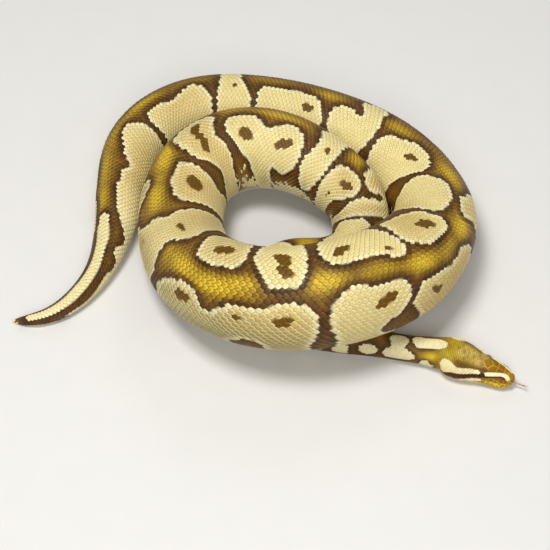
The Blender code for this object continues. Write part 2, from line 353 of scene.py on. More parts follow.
@dataclass
class OuterShape:
    """The whole animal's outer shape: body, neck and head in one smooth surface."""

    line: BodyLine
    head: HeadShape
    join: tuple[float, float] = (-3 * MM, 5 * MM)
    probe: tuple[float, float] = (0.2 * MM, 0.01)

    @property
    def length(self) -> float:
        """The whole length, from the tail's tip to the snout."""
        return self.line.length + self.head.length

    def past_neck(self, distance: Array) -> Array:
        """How far places lie past the back of the head, in mm."""
        return (distance - self.line.length) / MM

    def base(self, distance: Array, angle: Array) -> Array:
        """Points of the outer surface.

        Args:
            distance: Distances from the tail's tip.
            angle: Angles round the body from its top.

        Returns:
            One point for each pair.
        """
        frames = self.line.at(distance)
        reach = frames.radius[:, None]
        across, rise = np.sin(angle)[:, None], np.maximum(np.cos(angle), -self.line.belly)[:, None]
        body = frames.centre + reach * (frames.side * across + frames.up * rise)
        along = distance - self.line.length
        share = ease(*self.join, along)[:, None]
        near = share[:, 0] > 0
        if near.any():
            head = self.head.to_world(self.head.own_points(along[near], angle[near]))
            body[near] = body[near] * (1 - share[near]) + head * share[near]
        return body

    def frame(self, distance: Array, angle: Array) -> tuple[Array, Array, Array]:
        """Finds places on the outer surface and how it lies there.

        Args:
            distance: Distances from the tail's tip.
            angle: Angles round the body from its top.

        Returns:
            Points, outward normals, and metres of skin for each radian round the body.
        """
        step, turn = self.probe
        along = self.base(distance + step, angle) - self.base(distance - step, angle)
        around = self.base(distance, angle + turn) - self.base(distance, angle - turn)
        metric = np.linalg.norm(around, axis=1) / (2 * turn)
        return self.base(distance, angle), unit(np.cross(along, around)), metric

    def place(self, distance: Array, angle: Array, height: Array) -> Array:
        """Points at a height over the outer surface."""
        point, normal, _ = self.frame(distance, angle)
        return point + normal * np.asarray(height)[..., None]


# The markings.

# Outlines of the pale blotches: distance in cm and angle in degrees.
TAIL_STRIPE = (
    (1.1, -20), (1.1, 8), (2, 18), (3.5, 21), (5, 27), (7, 33), (8.5, 40), (10, 46), (10.9, 36),
    (10.95, 20), (10.4, 7), (9.3, -3), (8, -10), (7, -21), (6, -28), (5, -35), (4, -42), (3, -46),
    (2, -48), (1.25, -42),
)
TAIL_FLANK = (
    (3.4, -94), (4.5, -90), (5.6, -80), (6.3, -71), (7, -65), (7.5, -77), (7.9, -71), (8.3, -46),
    (8.7, -42), (9, -50), (9.4, -63), (9.7, -54), (10.2, -35), (10.8, -18), (11.4, -9), (12.2, -1),
    (13, 4), (13.6, -3), (14.3, -5), (14.6, -19), (15, -16), (15.5, -3), (16.2, 4), (16.8, 13),
    (17.4, 17), (17.9, 15), (18.2, 0), (18.4, -20), (18.35, -58), (18, -100), (17, -128), (13, -135),
    (8, -135), (4, -125),
)
LEFT_BLOTCH = (
    (18.85, -28), (19, -12), (19.4, -4), (19.9, -3), (20.6, -7), (21.1, -10), (21.7, -7), (22.3, 1),
    (22.8, 7), (23.2, 7), (23.7, -3), (24.05, -18), (24.2, -33), (24.1, -60), (23.8, -95),
    (22.5, -118), (20.2, -118), (19.2, -90), (19.05, -58),
)
LEFT_BAND = (
    (24.9, 60), (24.95, 38), (24.85, 15), (24.8, 0), (24.65, -20), (24.6, -38), (24.55, -70),
    (24.9, -105), (26.4, -112), (27.2, -80), (27.2, -38), (26.95, -15), (26.6, 0), (26.3, 15),
    (26.15, 38), (26.2, 60), (26, 92), (25.3, 92),
)
BACK_LONG_BLOTCH = (
    (27.6, -28), (27.6, -12), (27.85, -2), (28.5, 0), (29.4, 2), (30.3, 4), (31.2, 1), (31.8, -3),
    (32.25, -12), (32.6, -28), (32.75, -42), (32.6, -75), (31.8, -105), (29.5, -115), (28.2, -100),
    (27.7, -65),
)
BACK_HEART = (
    (33.1, -25), (33.15, -10), (33.5, -2), (34, 0), (34.6, -1), (35, -6), (35.25, -2), (35.25, 5),
    (34.9, 13), (34.55, 24), (34.8, 36), (35.6, 40), (36.4, 34), (36.45, 15), (36.55, 5), (36.8, -5),
    (36.95, -20), (36.9, -38), (36.6, -58), (36.2, -90), (35, -112), (34, -95), (33.6, -60),
    (33.3, -42),
)
BACK_RIGHT_BLOTCH = (
    (37.5, -25), (37.75, -12), (38.3, -5), (38.9, 0), (39.4, 7), (40, 12), (40.8, 12), (41.4, 8),
    (42, 5), (42.45, -2), (42.6, -12), (42.35, -27), (41.8, -40), (41.3, -52), (40.9, -70),
    (40.4, -105), (39, -118), (38, -95), (37.6, -62), (37.5, -42),
)
RIGHT_BLOTCH = (
    (43, -30), (43.2, -14), (43.6, -4), (44, 8), (44.6, 15), (45.5, 19), (46.3, 18), (47.1, 14),
    (47.8, 7), (48.1, -5), (48.15, -20), (48.4, -30), (48, -50), (47, -85), (45.5, -112), (44.2, -90),
    (43.5, -60), (43.15, -45),
)
RIGHT_OUTER_PATCH = (
    (44.3, 52), (44.9, 42), (45.3, 33), (45.9, 35), (46.5, 40), (46.2, 55), (46, 72), (45.8, 92),
    (44.9, 108), (44, 95), (43.8, 70),
)
RIGHT_OUTER_BLOTCH = (
    (47.2, 88), (47.3, 75), (47.7, 67), (48.3, 61), (49.2, 62), (50, 65), (50.8, 60), (51.6, 58),
    (52.2, 59), (52.7, 68), (52.85, 78), (52.6, 90), (52.3, 100), (51.9, 115), (51.3, 135), (49, 140),
    (47.6, 125), (47.2, 105),
)
FRONT_RIGHT_OUTER = (
    (52.95, 52), (52.9, 60), (53.2, 73), (53.6, 82), (54.2, 90), (54.5, 100), (54.1, 112), (53.4, 120),
    (53, 135), (55, 142), (56.6, 130), (56.75, 115), (56.8, 98), (57.1, 80), (57.15, 62), (56.95, 50),
    (56.5, 41), (56, 36), (55.4, 37), (54.7, 41), (54, 41), (53.3, 44),
)
RIGHT_INNER_OVAL = (
    (48.2, 24), (48.7, 29), (49.5, 31), (50.3, 29), (51, 25), (51.6, 16), (52, 6), (52.1, -6),
    (51.95, -20), (51.9, -34), (51.3, -37), (50.4, -33), (49.7, -28), (49.1, -20), (48.65, -10),
    (48.4, 2), (48.25, 12),
)
FRONT_INNER_LONG = (
    (52.3, 17), (52.6, 21), (53.1, 20), (53.6, 13), (54.2, 8), (54.9, 8), (55.6, 10), (56.2, 9),
    (56.8, 3), (57.05, -6), (57.1, -20), (56.9, -35), (56.6, -50), (56.1, -75), (55, -95), (53.6, -90),
    (52.9, -60), (52.75, -40), (52.55, -25), (52.35, -8), (52.25, 5),
)
FRONT_MIDDLE = (
    (58.15, 20), (58.45, 28), (59.1, 30), (59.8, 29), (60.1, 20), (60.45, 8), (60.8, -4), (60.85, -20),
    (60.85, -36), (60.6, -60), (60, -85), (58.8, -90), (58.1, -65), (57.9, -40), (57.8, -20),
    (57.85, -5), (58, 8),
)
FRONT_OUTER_LONG = (
    (57.7, 80), (57.65, 68), (57.85, 58), (58.2, 49), (58.8, 45), (59.4, 46), (59.9, 51), (60.4, 54),
    (61, 52), (61.4, 54), (61.9, 62), (62.35, 70), (62.75, 70), (63, 60), (63.4, 54), (64.1, 52),
    (64.7, 55), (65.3, 61), (65.9, 70), (66.3, 80), (66.7, 95), (67, 108), (66.6, 125), (65, 140),
    (62, 142), (59.5, 142), (58, 130), (58.1, 112), (57.95, 98), (57.8, 90),
)
FRONT_OUTER_NICK = (
    (60.2, 112), (60.45, 102), (61, 100), (61.5, 108), (61.9, 120), (61.6, 140), (60.4, 140),
)
FRONT_LEFT_INNER = (
    (61.3, 3), (61.5, 11), (62.1, 14), (62.8, 17), (63.5, 19), (64, 17), (64.45, 8), (64.8, -5),
    (65.05, -18), (65, -28), (64.4, -40), (63, -46), (61.8, -40), (61.5, -28), (61.3, -12),
)
LEFT_INNER_BAND = (
    (65.75, -2), (66, 10), (66.5, 19), (66.95, 28), (67, 42), (66.95, 58), (66.8, 72), (67.15, 85),
    (67.5, 97), (68, 114), (69.2, 118), (70.4, 104), (70.95, 86), (70.9, 76), (70.3, 66), (70, 55),
    (70, 40), (69.9, 30), (69.45, 23), (69.55, 12), (69.75, 0), (69.9, -15), (69.95, -30), (70.1, -50),
    (70.3, -72), (69.8, -95), (68.4, -92), (67, -62), (66.4, -36), (66, -18),
)
LEFT_INNER_CRESCENT = (
    (71.6, 90), (71.9, 76), (72.3, 62), (72.7, 53), (73.1, 47), (73.5, 50), (73.75, 60), (73.8, 75),
    (73.9, 92), (73.3, 118), (72.2, 116), (71.6, 102),
)
INNER_TEARDROP = (
    (71, -18), (71.15, -4), (71.6, 5), (72.2, 10), (73, 12), (73.7, 11), (74.4, 10), (74.8, 5),
    (74.95, -8), (74.95, -24), (74.6, -39), (74.2, -50), (73.9, -60), (74.1, -75), (74.2, -92),
    (73.6, -115), (72, -118), (71.2, -100), (71.1, -75), (71.05, -45),
)
INNER_BONE = (
    (77.1, 46), (76.3, 42), (75.9, 26), (75.75, 8), (75.6, -9), (75.7, -20), (76, -33), (76.3, -46),
    (76.15, -57), (75.6, -66), (74.9, -75), (74.5, -88), (75, -112), (77.3, -128), (78, -108),
    (77.95, -85), (78.2, -68), (78.55, -50), (78.45, -35), (78.15, -20), (77.95, -6), (78.2, 8),
    (78.35, 22), (78, 37),
)
INNER_DOUBLE = (
    (78.85, -14), (78.85, 0), (79.2, 8), (79.8, 11), (80.5, 9), (81, 2), (81.3, -8), (81.65, -13),
    (82, -10), (82.4, -1), (82.9, 4), (83.4, 2), (83.9, -9), (84.1, -22), (84.25, -38), (84.2, -55),
    (83.9, -68), (83.5, -76), (83, -73), (82.6, -68), (82.5, -80), (82.55, -97), (82.4, -115),
    (82, -135), (81.2, -128), (81.05, -108), (80.95, -85), (80.6, -66), (80.1, -53), (79.6, -41),
    (79.2, -30),
)
INNER_SLANTED = (
    (84.6, 40), (84.35, 26), (84.6, 14), (84.75, -2), (84.65, -22), (84.5, -42), (84.7, -60),
    (84.95, -78), (85.3, -87), (85.8, -80), (86.05, -60), (86.15, -40), (86.1, -20), (86.1, 0),
    (86.05, 15), (86, 30), (86.1, 60), (85.7, 92), (84.9, 92), (84.6, 65),
)
INNER_RIGHT_OVAL = (
    (86.4, -25), (86.55, -11), (86.95, -1), (87.5, 2), (88.05, 2), (88.4, -6), (88.55, -20),
    (88.4, -38), (88.1, -52), (87.9, -70), (88, -95), (88, -122), (86.8, -124), (86.6, -100),
    (86.5, -80), (86.35, -60), (86.35, -42),
)
INNER_RIGHT_TONGUE = (
    (87.5, 62), (87.6, 40), (87.7, 22), (88, 14), (88.4, 13), (88.7, 20), (88.85, 38), (89, 50),
    (89.4, 60), (89.4, 88), (87.9, 90),
)
DESCENT_BAND = (
    (88.8, -8), (88.95, 10), (89.1, 28), (89.2, 43), (89.1, 56), (89.2, 92), (90.1, 82), (90, 50),
    (90, 20), (90, 0), (90, -20), (90.1, -40), (90.3, -65), (90.6, -95), (89.9, -112), (89.6, -85),
    (89.4, -60), (89.1, -43), (88.85, -28),
)
DESCENT_BLOTCH = (
    (90.25, -12), (90.2, 5), (90.5, 22), (91.2, 26), (92.2, 18), (93.2, 5), (94, -12), (93.9, -28),
    (93, -42), (91.6, -52), (90.6, -46), (90.3, -30),
)
CENTRE_PATCH = (
    (96.1, -8), (96.3, 6), (96.9, 6), (97.4, -10), (97.5, -40), (97.1, -60), (96.6, -42), (96.3, -22),
)
NECK_FIRST_OVAL = (
    (108.1, -65), (108.4, -50), (108.8, -45), (109.2, -54), (109.35, -68), (109.15, -85), (108.7, -97),
    (108.25, -86),
)
NECK_HOURGLASS = (
    (110, -8), (110.05, 10), (110.3, 18), (110.8, 22), (111.1, 14), (111.25, 0), (111.2, -15),
    (111.05, -30), (111.15, -42), (111.5, -54), (111.75, -70), (111.55, -88), (110.8, -98), (110, -95),
    (109.65, -76), (109.8, -57), (110.1, -42), (110.15, -25),
)
NECK_LAST_OVAL = (
    (111.45, 0), (111.5, 18), (111.8, 33), (112.1, 26), (112.6, 19), (113.2, 16), (113.6, 8),
    (113.75, -5), (113.5, -20), (113, -28), (112.4, -31), (111.9, -29), (111.6, -15),
)
THROAT_PATCH = (
    (112.05, -95), (112.4, -82), (112.8, -90), (113, -108), (112.8, -126), (112.2, -126),
)
TAIL_OUTER_PATCH = (
    (9.8, 68), (10.6, 62), (11.6, 62), (12.3, 69), (12.6, 90), (12, 128), (10, 132), (9.1, 98),
)
BLOTCHES = (
    TAIL_STRIPE, TAIL_FLANK, LEFT_BLOTCH, LEFT_BAND, BACK_LONG_BLOTCH, BACK_HEART, BACK_RIGHT_BLOTCH,
    RIGHT_BLOTCH, RIGHT_OUTER_PATCH, RIGHT_OUTER_BLOTCH, FRONT_RIGHT_OUTER, RIGHT_INNER_OVAL,
    FRONT_INNER_LONG, FRONT_MIDDLE, FRONT_OUTER_LONG, FRONT_LEFT_INNER, LEFT_INNER_BAND,
    LEFT_INNER_CRESCENT, INNER_TEARDROP, INNER_BONE, INNER_DOUBLE, INNER_SLANTED, INNER_RIGHT_OVAL,
    INNER_RIGHT_TONGUE, DESCENT_BAND, DESCENT_BLOTCH, CENTRE_PATCH, NECK_FIRST_OVAL, NECK_HOURGLASS,
    NECK_LAST_OVAL, THROAT_PATCH, TAIL_OUTER_PATCH,
)
# Blotches of the flanks that lie away from the open side of the coil:
# distance and half length in cm, angle of the upper end and of the lower one.
FLANK_BLOTCHES = (
    (4.2, 1.0, 76, 120), (7.0, 1.1, 82, 125), (14.6, 1.6, 72, 125), (19.4, 2.0, 52, 125),
    (22.6, 0.9, 66, 125), (29.0, 2.1, 46, 125), (33.0, 0.9, 62, 120), (38.6, 1.9, 48, 125),
    (41.9, 0.8, 62, 120), (75.2, 0.7, 74, 120), (80.4, 1.7, 58, 125), (82.9, 0.5, 74, 120),
    (92.4, 1.4, 48, 125), (95.0, 0.8, -128, -75), (95.6, 0.8, 44, 120), (98.2, 1.0, 40, 120),
    (99.6, 1.1, -120, -42), (101.2, 0.7, 36, 120), (102.4, 0.8, -120, -38), (103.8, 0.9, 40, 120),
    (105.0, 0.8, -120, -36), (106.4, 0.8, 36, 120), (107.0, 0.5, -115, -60), (109.0, 0.8, 40, 118),
    (112.4, 0.8, 60, 120), (63.0, 1.3, -128, -72), (66.0, 0.5, -120, -88),
    (50.0, 1.4, -128, -62), (42.6, 0.6, -125, -92), (1.8, 0.9, -150, -112),
)


class Spot(NamedTuple):
    """A soft oval on the hide, in cm along it and degrees round it.

    Lean is how many degrees it climbs over its half length.
    """

    at: float
    angle: float
    half_length: float
    half_width: float
    strength: float = 1.0
    lean: float = 0.0


# The soft ovals below are rows of what makes up a Spot.
# Dark spots inside the blotches.
EYE_SPOTS = (
    (25.8, -3, .16, 5), (31.35, -23, .48, 7, 1, -2), (40.45, -13, .48, 6, 1, 5),
    (49.5, 8, .42, 8, 1, -4), (50, 5, .38, 6, 1, -3), (51.3, 78, .36, 5, 1, -3),
    (54.3, 60, .6, 6, 1, 3), (53.2, 7, .28, 4, 1, -3), (55.8, -11, .58, 6, 1, 4),
    (59.1, 9, .42, 7, 1, -2), (59.25, -9, .5, 9, 1, -4), (59.2, 66, .42, 6, 1, 2),
    (61.1, 67, .24, 3.5), (64.1, 69, .56, 7, 1, 2), (62.9, -9, .64, 8, 1, 4),
    (67.6, 6, .55, 4.5, 1, 2), (73.1, -20, .82, 11, 1, 3), (72.7, -22, .45, 9),
    (77.15, 20, .32, 9, 1, 4), (76.85, -13, .34, 10, 1, 4), (77, 3, .2, 12),
    (80.3, -24, .58, 9, 1, -4), (82.95, -30, .55, 8, 1, 6), (85.4, -4, .18, 6, 1, -4),
    (87.7, -24, .42, 8, 1, 5), (87.3, -57, .1, 3), (87.2, -65, .09, 2.5), (69.3, 68, .26, 3, .35, 2),
    (19.6, 90, .5, 8, 1, 2), (29.2, 86, .6, 8, 1, -2), (38.6, 88, .5, 8, 1, 3), (80.4, 92, .5, 8),
    (92.4, 86, .45, 9),
)
# Gold along the middle of the back, with a painted sheen where the light falls on the tops of the coils.
GOLD_SHEEN_SPOTS = (
    (12.3, 38, 1.1, 14, .8, 2), (14.6, 40, 1.6, 12, .75), (17.2, 34, 1.5, 14, .45, -6),
    (19.6, 24, 1.4, 10, .85, -4), (22.8, 17, 1.6, 10, .25), (28.2, 20, 1.6, 12, .3),
    (32.4, 14, 1, 11, .65), (37.9, 13, 1.2, 11, .65, 2), (43.2, 27, 1.3, 12, .95, 2),
    (47.4, 45, .9, 14, 1.2), (49.6, 45, 1.5, 9, .45), (51.8, 39, 1, 9, 1.15, -5),
    (54.2, 27, 1.2, 9, .5, -2), (57.2, 25, 1, 10, 1.25), (61.2, 30, 1.3, 9, 1, 7),
    (62.4, 39, 1.4, 10, 1.3, 2), (64.6, 36, 1.4, 11, 1.1, -1), (66.2, 36, .7, 13, .6),
    (71.8, 34, 1.1, 12, 1.2), (73.4, 31, .8, 9, .6), (75.1, 36, 1.1, 14, 1.35, 4),
    (75.4, 26, .6, 10, .6), (79.4, 30, .9, 10, .35), (82, 19, 1.4, 9, .8, -1), (86.9, 28, .6, 16, .7),
    (95.2, -8, .9, 34, .8), (99, 0, 1.2, 22, .8), (102.6, 0, 1.4, 22, .7), (106, 0, 1.2, 22, .6),
    (112.9, -58, .7, 17, 1.1, 3),
)
# Patches that are tanner, or more olive, than the rest: partly the hide's own tone and partly painted shade,
# on blotches facing away from the light and low on the flanks.
TAN_SHADE_PATCHES = (
    (15, -40, 3.6, 40, .85), (21.5, -30, 2.6, 34, .6), (48.4, -40, 1.6, 30, .7), (49.8, 95, 2.9, 40),
    (50.3, -8, 2, 30, .75), (55, 70, 2.4, 45, .25), (60.4, 85, 3.4, 40, .8), (63, -10, 2.1, 30, .55),
    (68.4, -35, 2.3, 60, .75), (69.2, 82, 1.8, 28, .9), (73, -20, 2.3, 60, .85),
    (77.1, -20, 1.6, 60, .7), (88.4, 50, .8, 34), (89.6, 30, .8, 60, .8), (45.6, 50, 1, 24, .4),
    (87.5, -20, 1.2, 26, .6), (73.2, 66, 1.4, 20),
)
OLIVE_SHADE_PATCHES = (
    (62.5, 106, 5.6, 34, .9), (65.4, 84, 2.6, 30, .7), (58.8, 96, 1.4, 24, .5), (62.6, 82, 4, 24, .6),
    (9.2, -98, 2.6, 24, .6), (5.6, -96, 2.4, 16, .4), (12.5, -62, 3.6, 24, .35), (79.6, -84, 1.5, 26),
    (84.2, -92, 2.4, 20), (88.9, -72, 1, 34), (75.3, -60, 1.1, 22, .75), (112.7, -72, 1.6, 30, .8),
    (112.6, -104, .9, 24, .9), (54.6, 120, 2.2, 26, .35), (111, -92, 1.4, 22, .6),
)
# Whitish flecks low on the flank.
PALE_PATCHES = (
    (79.6, -92, .7, 10, .9), (80.2, -84, .4, 6, .5), (84.8, -104, 1.2, 16), (83.9, -98, .4, 8, .7),
    (85.8, -106, .7, 14, .9), (89.3, -88, .5, 16, .5), (76.8, -96, 1.6, 24), (82, -118, .8, 18, .8),
    (87.3, -104, .9, 18, .9), (0, 0, .32, 400, 1.6), (112.5, -104, .45, 24, .9),
    (80.2, -104, 1.6, 12, 1.1), (84, -108, 1.8, 14, 1.1), (79.9, -70, .35, 7, .6),
    (79.4, -78, .3, 6, .7),
)
# Angle of the middle of the back, in degrees, at distances in cm.
BACK_LINE = (
    (0, -15), (3, -15), (5, -5), (7, 6), (9, 20), (11, 28), (13, 36), (16, 38), (19, 22), (28, 18),
    (38, 18), (43, 27), (48.5, 45), (52, 40), (54, 29), (57, 25), (59, 37), (62, 40), (65, 35),
    (76, 35), (79, 25), (82, 20), (85, 18), (89, 12), (91, 5), (95, -15), (99, 0), (114, 0), (120, 0),
)


# Outlines of the head's stripes: mm from the back of the head, and degrees from
# its top on either side.
REAR_STRIPE = (
    (2.0, 62), (3.0, 49), (5.2, 42), (7.8, 42), (9.8, 46), (11.8, 52), (13.8, 55), (17.5, 52),
    (21.6, 47), (24, 48), (25.8, 45), (27.4, 51), (28.4, 60), (26.1, 63), (21, 70), (15.4, 77),
    (10.4, 80), (7, 88), (4.5, 93), (2.4, 88), (1.4, 75),
)
SNOUT_STRIPE = (
    (29.9, 50), (31.7, 43), (35.4, 35), (38.9, 27), (42.4, 20), (44.6, 23), (45.7, 38), (45.6, 54),
    (44.4, 62), (43.6, 52), (42.6, 44), (40.6, 42), (36.4, 53), (31.8, 62), (30.2, 61),
)
CHEEK_LINE = (
    (5, 94), (7.5, 88), (10.4, 80), (15.4, 77), (21, 70), (26, 63), (31.5, 64), (31, 71), (27.6, 79),
    (22.8, 84), (18.7, 90), (13.8, 96), (9, 99), (5.5, 100),
)
SNOUT_LINE = (
    (30.5, 62), (36.4, 53), (40.6, 42), (42.4, 43.5), (43.6, 53), (42.2, 54), (40.6, 50), (36.6, 61),
    (30.5, 74),
)
LOWER_STRIPE = (
    (14.5, 101), (19, 93), (24, 86), (28.3, 82), (29.2, 88), (27, 95), (22, 100), (17, 105),
)
HEAD_GLOWS = (
    (-.3, -38, .8, 20), (.35, -28, .75, 22), (.5, 18, .9, 24, .8), (1.1, -6, .8, 30, .75),
    (1.9, 0, .8, 30, .45), (3.05, -4, .45, 24, .55), (3.9, 10, .5, 20, .3), (4.65, 0, .35, 70, .7),
    (3, 95, .25, 10, .4),
)
HEAD_PALES = (
    (1.85, 4, .5, 20, .65), (2.3, -14, .4, 16, .55), (1.5, 16, .4, 14, .45), (2.65, 20, .3, 14, .4),
    (1.3, -6, .35, 14, .4),
)
HEAD_SPECKS = (
    (1.42, -2, .09, 6), (1.62, 8, .07, 5), (1.74, 0, .07, 5), (2.06, -3, .09, 6), (1.9, 12, .07, 5),
    (1.2, 14, .07, 5), (2.4, 8, .06, 5), (2.2, -24, .07, 5), (1.55, -20, .07, 5), (1, 2, .07, 5),
    (1.75, -10, .07, 5),
)


def closed_curve(corners: Sequence, steps: int = 4) -> Array:
    """Rounds a closed outline by a curve through its corners.

    Args:
        corners: The outline's corners in order.
        steps: Points made for each corner.

    Returns:
        The points of the curve.
    """
    here = np.array(corners, dtype=float)
    before, after, later = np.roll(here, 1, 0), np.roll(here, -1, 0), np.roll(here, -2, 0)
    share = (np.arange(steps) / steps)[:, None, None]
    curve = 0.5 * (2 * here + (after - before) * share
                   + (2 * before - 5 * here + 4 * after - later) * share ** 2
                   + (3 * here - before - 3 * after + later) * share ** 3)
    return curve.transpose(1, 0, 2).reshape(-1, 2)


def distance_to_outline(outline: Array, points: Array, most: int = 4000) -> Array:
    """Measures how far points are from a closed outline.

    Args:
        outline: Its corners in order.
        points: The points to measure from.
        most: How many points are measured at once.

    Returns:
        The distance of each point, negative inside the outline.
    """
    if len(points) >= 2 * most:
        parts = np.array_split(points, len(points) // most)
        return np.concatenate([distance_to_outline(outline, part) for part in parts])
    start, end = outline[None], np.roll(outline, -1, 0)[None]
    leg, reach = end - start, points[:, None] - start
    share = np.clip((reach * leg).sum(2) / np.maximum((leg ** 2).sum(2), 1e-12), 0, 1)
    gap = np.sqrt(((reach - leg * share[..., None]) ** 2).sum(2)).min(1)
    crosses = (start[..., 1] > points[:, None, 1]) != (end[..., 1] > points[:, None, 1])
    rise = np.where(leg[..., 1] == 0, 1e-12, leg[..., 1])
    right = points[:, None, 0] < start[..., 0] + reach[..., 1] / rise * leg[..., 0]
    inside = (crosses & right).sum(1) % 2 == 1
    return np.where(inside, -gap, gap)


def flank_outline(at: float, half_length: float, first: float, last: float, corners: int = 14) -> list:
    """Draws a rounded blotch on the flank, a little narrower at its waist.

    Args:
        at: Distance of its middle in cm.
        half_length: Half its length in cm.
        first: Angle of one end in degrees.
        last: Angle of the other end.
        corners: How many corners the outline has.

    Returns:
        The corners of its outline.
    """
    middle, half_width = (first + last) / 2, (last - first) / 2
    outline = []
    for number in range(corners):
        turn = 2 * math.pi * number / corners
        along, across = (math.copysign(abs(part) ** 0.75, part) for part in (math.cos(turn), math.sin(turn)))
        waist = 1 - 0.14 * math.cos(3 * turn + at)
        outline.append((at + half_length * along * waist, middle + half_width * across))
    return outline


@dataclass
class Marks:
    """How strongly each marking shows at some places on the hide, from 0 to 1."""

    pale: Array
    rim: Array
    warm: Array
    # Gold, with a painted sheen along the tops of the coils.
    glow: Array
    # Tan, partly painted shade on blotches facing away from the light.
    tan: Array
    # Olive grey, partly painted shade low on the flanks and on the sides away from the light.
    olive: Array
    spot: Array
    belly: Array


@dataclass
class Pattern:
    """The python's blotched pattern, by distance and angle over the body."""

    shape: OuterShape
    roll_share: float = 0.6
    rim_width: tuple[float, float] = (4.2, 0.6)
    dark_width: tuple[float, float] = (1.2, 9.5)
    belly_angles: tuple[float, float] = (118.0, 144.0)
    farthest: float = 30.0
    look_round: float = 12.0

    def __post_init__(self) -> None:
        """Works out the outlines once, in mm along and round the body."""
        flanks = [flank_outline(*blotch) for blotch in FLANK_BLOTCHES]
        self.outlines = [self.flat(closed_curve(outline)) for outline in (*BLOTCHES, *flanks)]
        self.nick = self.flat(closed_curve(FRONT_OUTER_NICK))

    def flat(self, places: Array) -> Array:
        """Turns places in cm and degrees into mm along and round the body."""
        radius = self.shape.line.at(places[:, 0] * CM).radius / MM
        return np.column_stack((places[:, 0] * CM / MM, np.radians(places[:, 1]) * radius))

    def roll(self, distance: Array) -> Array:
        """Angle of the middle of the back at distances along the body."""
        return np.radians(read_table(BACK_LINE, distance / CM))

    def angle(self, distance: Array, from_back: Array) -> Array:
        """The angle from the top of places given by their angle from the back line."""
        return from_back + self.roll(distance) * (1 - self.roll_share * (1 - np.cos(from_back)) / 2)

    def from_back(self, distance: Array, angle: Array) -> Array:
        """Measures angles from the back line instead of the top.

        Args:
            distance: Distances from the tail's tip.
            angle: Angles from the top.

        Returns:
            The angles from the back line.
        """
        result = angle - self.roll(distance)
        for _ in range(6):
            result = result + angle - self.angle(distance, result)
        return wrapped(result)

    @staticmethod
    def spots(rows: Sequence, distance: Array, degrees: Array, firm: bool = False) -> Array:
        """Reads some soft ovals.

        Args:
            rows: What makes up each oval.
            distance: Distances from where they are measured.
            degrees: Angles in degrees.
            firm: Whether the ovals have a clear edge.

        Returns:
            How strongly any of them shows at each place.
        """
        shown = np.zeros(len(distance))
        for spot in starmap(Spot, rows):
            along = (distance / CM - spot.at) / spot.half_length
            across = (degrees - spot.angle - spot.lean * along) / spot.half_width
            away = along ** 2 + across ** 2
            value = ease(1.25, 0.85, away) if firm else np.exp(-away)
            shown = np.maximum(shown, value * spot.strength)
        return shown

    def flecks(self, distance: Array, angle: Array, chance: Array) -> Array:
        """Which scales are whitish flecks: more of them towards the middle of a pale patch."""
        shown = self.spots(PALE_PATCHES, distance, np.degrees(wrapped(angle)))
        return ease(0.42, 0.58, shown + 0.3 * chance)

    def to_blotch(self, distance: Array, angle: Array) -> Array:
        """Measures how far places are from the nearest blotch.

        Args:
            distance: Distances from the tail's tip.
            angle: Angles from the top.

        Returns:
            The distance in mm to its edge, negative inside it, and at most the pattern's own.
        """
        places = self.flat(np.column_stack((distance / CM, np.degrees(angle))))
        nearest = np.full(len(places), self.farthest)
        for outline in self.outlines:
            low, high = outline[:, 0].min() - self.look_round, outline[:, 0].max() + self.look_round
            near = np.flatnonzero((places[:, 0] > low) & (places[:, 0] < high))
            nearest[near] = np.minimum(nearest[near], distance_to_outline(outline, places[near]))
        near = np.flatnonzero(np.abs(places[:, 0] - self.nick[:, 0].mean()) < 20)
        nearest[near] = np.maximum(nearest[near], -distance_to_outline(self.nick, places[near]))
        return nearest

    def read(self, distance: Array, angle: Array, firm: bool) -> Marks:
        """Reads the markings.

        Args:
            distance: Distances from the tail's tip.
            angle: Angles from the top.
            firm: Whether the places are on scales rather than on the skin.

        Returns:
            The markings at each place.
        """
        angle = wrapped(angle)
        place, degrees = distance / CM, np.degrees(angle)
        gap = self.to_blotch(distance, angle)
        edge = 0.25 if firm else 0.5
        pale = ease(edge, -edge, gap)
        if not firm:
            pale = np.maximum(pale, np.minimum(1, self.spots(PALE_PATCHES, distance, degrees) * 1.3))
        # The ground is warmest on the back and low on the flank, and darker near the tail.
        from_back = np.degrees(np.abs(self.from_back(distance, angle)))
        on_top = 0.3 + 0.7 * ease(75, 25, from_back) + 0.5 * ease(72, 100, from_back)
        on_top = on_top * (1 - 0.55 * ease(17, 22, place) * ease(44, 34, place))
        on_top = on_top * (1 - 0.6 * ease(4, 1.5, place))
        wider = gap * (1 + 1.4 * ease(108.5, 112.5, place))
        rim = ease(*self.rim_width, -gap)
        return Marks(
            pale=pale,
            rim=np.maximum(rim, 1.3 * ease(103, 109, place) + 0.6 * ease(14, 10, place)),
            warm=ease(*self.dark_width, wider) * on_top - 0.3 * ease(2.4, 0.6, wider),
            # The gold of the back, brightened by a painted sheen where the light falls on the tops of the
            # coils.
            glow=self.spots(GOLD_SHEEN_SPOTS, distance, degrees) * ease(1.0, 6.0, wider),
            # Tanner and olive patches, partly painted shade where less light falls.
            tan=self.spots(TAN_SHADE_PATCHES, distance, degrees),
            olive=self.spots(OLIVE_SHADE_PATCHES, distance, degrees),
            spot=self.spots(EYE_SPOTS, distance, degrees, True),
            belly=ease(*self.belly_angles, from_back),
        )


